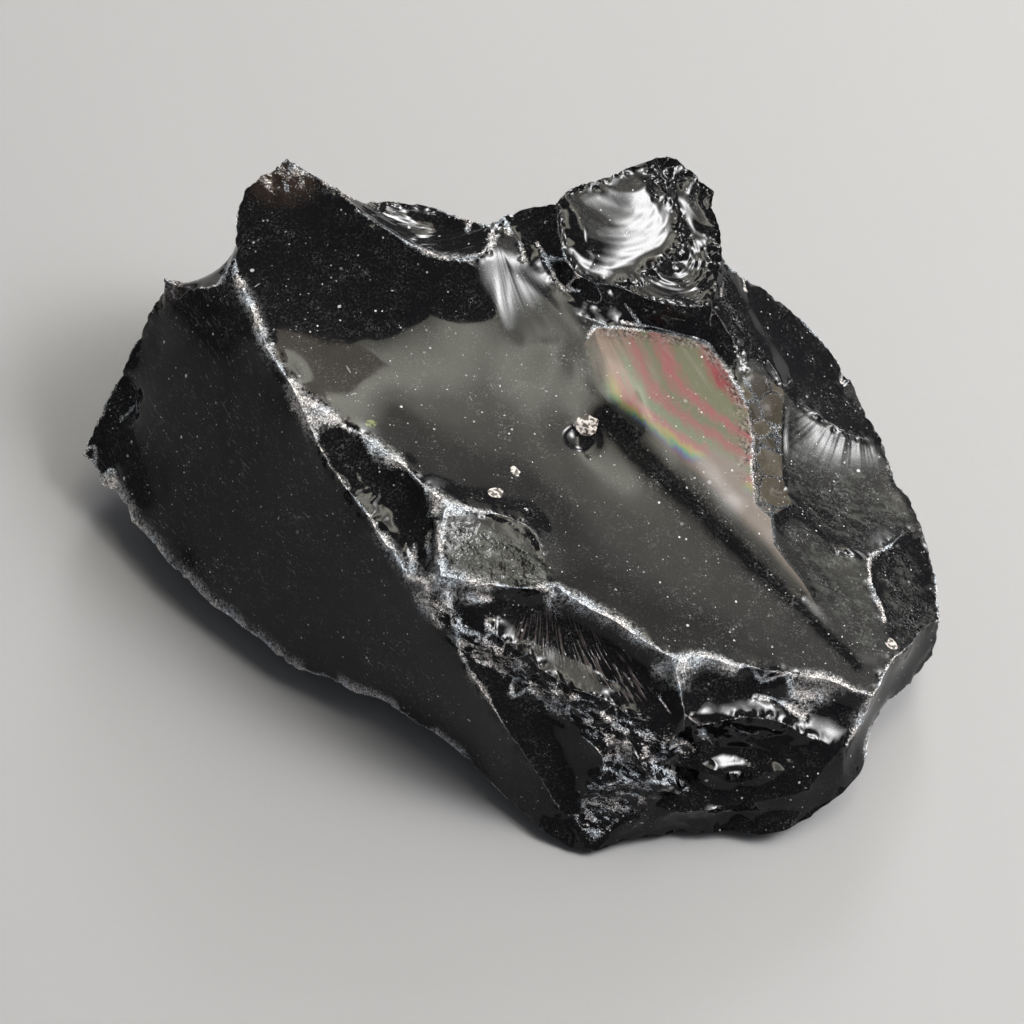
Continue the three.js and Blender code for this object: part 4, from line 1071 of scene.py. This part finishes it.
def window_material():
    """The window's glow: brightest just inside its left edge, with a brown reveal at the back."""
    n = Nodes("window_glow")
    east, north = n.parted(n.place, "X"), n.parted(n.place, "Y")
    glow = n.colours(n.math("DIVIDE", east, 1.6), [
        (0.062, (0.37, 0.365, 0.31)), (0.106, (0.80, 0.79, 0.67)), (0.150, (1.00, 0.985, 0.84)),
        (0.194, (0.54, 0.53, 0.46)), (0.250, (0.37, 0.365, 0.32)), (0.338, (0.30, 0.297, 0.27)),
        (0.412, (0.215, 0.212, 0.195)), (0.500, (0.243, 0.24, 0.225)), (1.000, (0.27, 0.27, 0.26)),
    ])
    fade = n.times(n.ramp(north, 0.6, 0.9, 0.0, 0.45), n.ramp(east, 0.33, 0.43))
    glow = n.mix(fade, glow, (0.0, 0.0, 0.0, 1))
    reveal = n.times(n.math("LESS_THAN", east, 0.205), n.math("GREATER_THAN", north, 0.42))
    glow = n.mix(reveal, glow, (0.31, 0.275, 0.23, 1))
    return n.glow(glow, WINDOW_STRENGTH)


def lamp_material(name, strength):
    """A clear panel's glow, full in its middle, that fades to nothing at its edges."""
    n = Nodes(name)
    reach = n.vector("LENGTH", n.place)
    glow = n.colours(reach, [
        (0.0, (1.0, 1.0, 1.0)), (0.22, (0.85, 0.85, 0.85)), (0.42, (0.38, 0.38, 0.38)),
        (0.70, (0.12, 0.12, 0.12)), (1.0, (0.0, 0.0, 0.0)),
    ])
    return n.glow(glow, strength, clear=True)


# ------------------------------------------------------------------ the stage


def aim(thing, at):
    """Turns a lamp or a camera to face a place."""
    thing.rotation_mode = "QUATERNION"
    thing.rotation_quaternion = (Vector(at) - thing.location).to_track_quat("-Z", "Y")


def sky_place(round_from_back, up, away):
    """A place in the sky by its bearing from the back, turned to the right, and its height angle."""
    bearing, height = math.radians(round_from_back), math.radians(up)
    across = away * math.cos(height)
    return (across * math.sin(bearing), across * math.cos(bearing), away * math.sin(height))


def lay_panel(scene, name, corners, material):
    """A flat piece of the stage: the floor, or a glowing panel."""
    mesh = bpy.data.meshes.new(name)
    mesh.from_pydata(corners, [], [(0, 1, 2, 3)])
    mesh.materials.append(material)
    panel = bpy.data.objects.new(name, mesh)
    scene.collection.objects.link(panel)
    return panel


def soft_lamp(scene, name, bearing, height, away, half_width, half_height, strength):
    """A soft lamp that faces the stone."""
    square = [(-1, -1, 0), (1, -1, 0), (1, 1, 0), (-1, 1, 0)]
    lamp = lay_panel(scene, name, square, lamp_material(f"{name}_glow", strength))
    lamp.location = sky_place(bearing, height, away)
    lamp.scale = (half_width, half_height, 1.0)
    lamp.visible_shadow = False
    aim(lamp, LAMP_TARGET)


def light_sky(scene):
    """A faint even light from all round."""
    world = bpy.data.worlds.new("studio")
    world.use_nodes = True
    background = world.node_tree.nodes["Background"]
    background.inputs["Color"].default_value = SKY
    background.inputs["Strength"].default_value = SKY_STRENGTH
    scene.world = world


def set_camera(scene):
    """The camera, in front of the stone and well above it."""
    data = bpy.data.cameras.new("camera")
    data.lens = LENS
    data.clip_start = 0.01
    camera = bpy.data.objects.new("camera", data)
    target = Vector(CAMERA_TARGET)
    camera.location = target + Vector((0.0, -math.cos(CAMERA_TILT), math.sin(CAMERA_TILT))) * CAMERA_AWAY
    scene.collection.objects.link(camera)
    aim(camera, target)
    scene.camera = camera


# ------------------------------------------------------------------ operators


class ANDARA_OT_stone(bpy.types.Operator):
    """Shape the stone's skin from its solid and give it its glass"""

    bl_idname = "andara.stone"
    bl_label = "Stone"
    bl_options = {"REGISTER", "UNDO"}

    def execute(self, context):
        settings = context.scene.andara_stone
        web = read_solid()
        shape_skin(web, settings)
        away = carve_skin(web)
        mesh = mesh_from(web, SKIN)
        marks = skin_marks(web, away)
        for name, values in marks.items():
            lay_attribute(mesh, name, values)
        stone = bpy.data.objects.new(SKIN, mesh)
        context.scene.collection.objects.link(stone)
        mesh.materials.append(glass_material(web, "black_glass", False))
        mesh.materials.append(glass_material(web, "busy_black_glass", True))
        busy = busy_points(web, marks)[web.triangles].any(axis=1)
        mesh.polygons.foreach_set("material_index", busy.astype(np.int32))
        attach(stone, "root")
        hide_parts(SOLID)
        if len(mesh.polygons) > MOST_TRIANGLES:
            raise RuntimeError(f"the skin has {len(mesh.polygons)} triangles, over {MOST_TRIANGLES}")
        return {"FINISHED"}


class ANDARA_OT_stage(bpy.types.Operator):
    """Lay the floor and set the lights and the camera"""

    bl_idname = "andara.stage"
    bl_label = "Stage"
    bl_options = {"REGISTER", "UNDO"}

    def execute(self, context):
        scene = context.scene
        settings = scene.andara_stage
        half = settings.floor_side / 2
        square = [(-half, -half, 0), (half, -half, 0), (half, half, 0), (-half, half, 0)]
        lay_panel(scene, "floor", square, floor_material(settings))
        light_sky(scene)
        lay_panel(scene, "window", WINDOW, window_material())
        for name, lamp in LAMPS.items():
            soft_lamp(scene, name, *lamp)
        set_camera(scene)
        scene.view_settings.view_transform = "Standard"
        return {"FINISHED"}


class ANDARA_PT_panel(bpy.types.Panel):
    bl_idname = "ANDARA_PT_panel"
    bl_label = "Andara Crystal"
    bl_space_type = "VIEW_3D"
    bl_region_type = "UI"
    bl_category = "Andara"

    def draw(self, context):
        layout = self.layout
        for group in (context.scene.andara_stone, context.scene.andara_stage):
            box = layout.box()
            for name in group.__annotations__:
                box.prop(group, name)
        layout.operator(ANDARA_OT_stone.bl_idname)
        layout.operator(ANDARA_OT_stage.bl_idname)


CLASSES = (StoneSettings, StageSettings, ANDARA_OT_stone, ANDARA_OT_stage, ANDARA_PT_panel)


def register():
    for cls in CLASSES:
        bpy.utils.register_class(cls)
    bpy.types.Scene.andara_stone = bpy.props.PointerProperty(type=StoneSettings)
    bpy.types.Scene.andara_stage = bpy.props.PointerProperty(type=StageSettings)


def unregister():
    del bpy.types.Scene.andara_stone
    del bpy.types.Scene.andara_stage
    for cls in reversed(CLASSES):
        bpy.utils.unregister_class(cls)


def main():
    register()
    bpy.ops.andara.stone()
    bpy.ops.andara.stage()


if __name__ == "__main__":
    main()
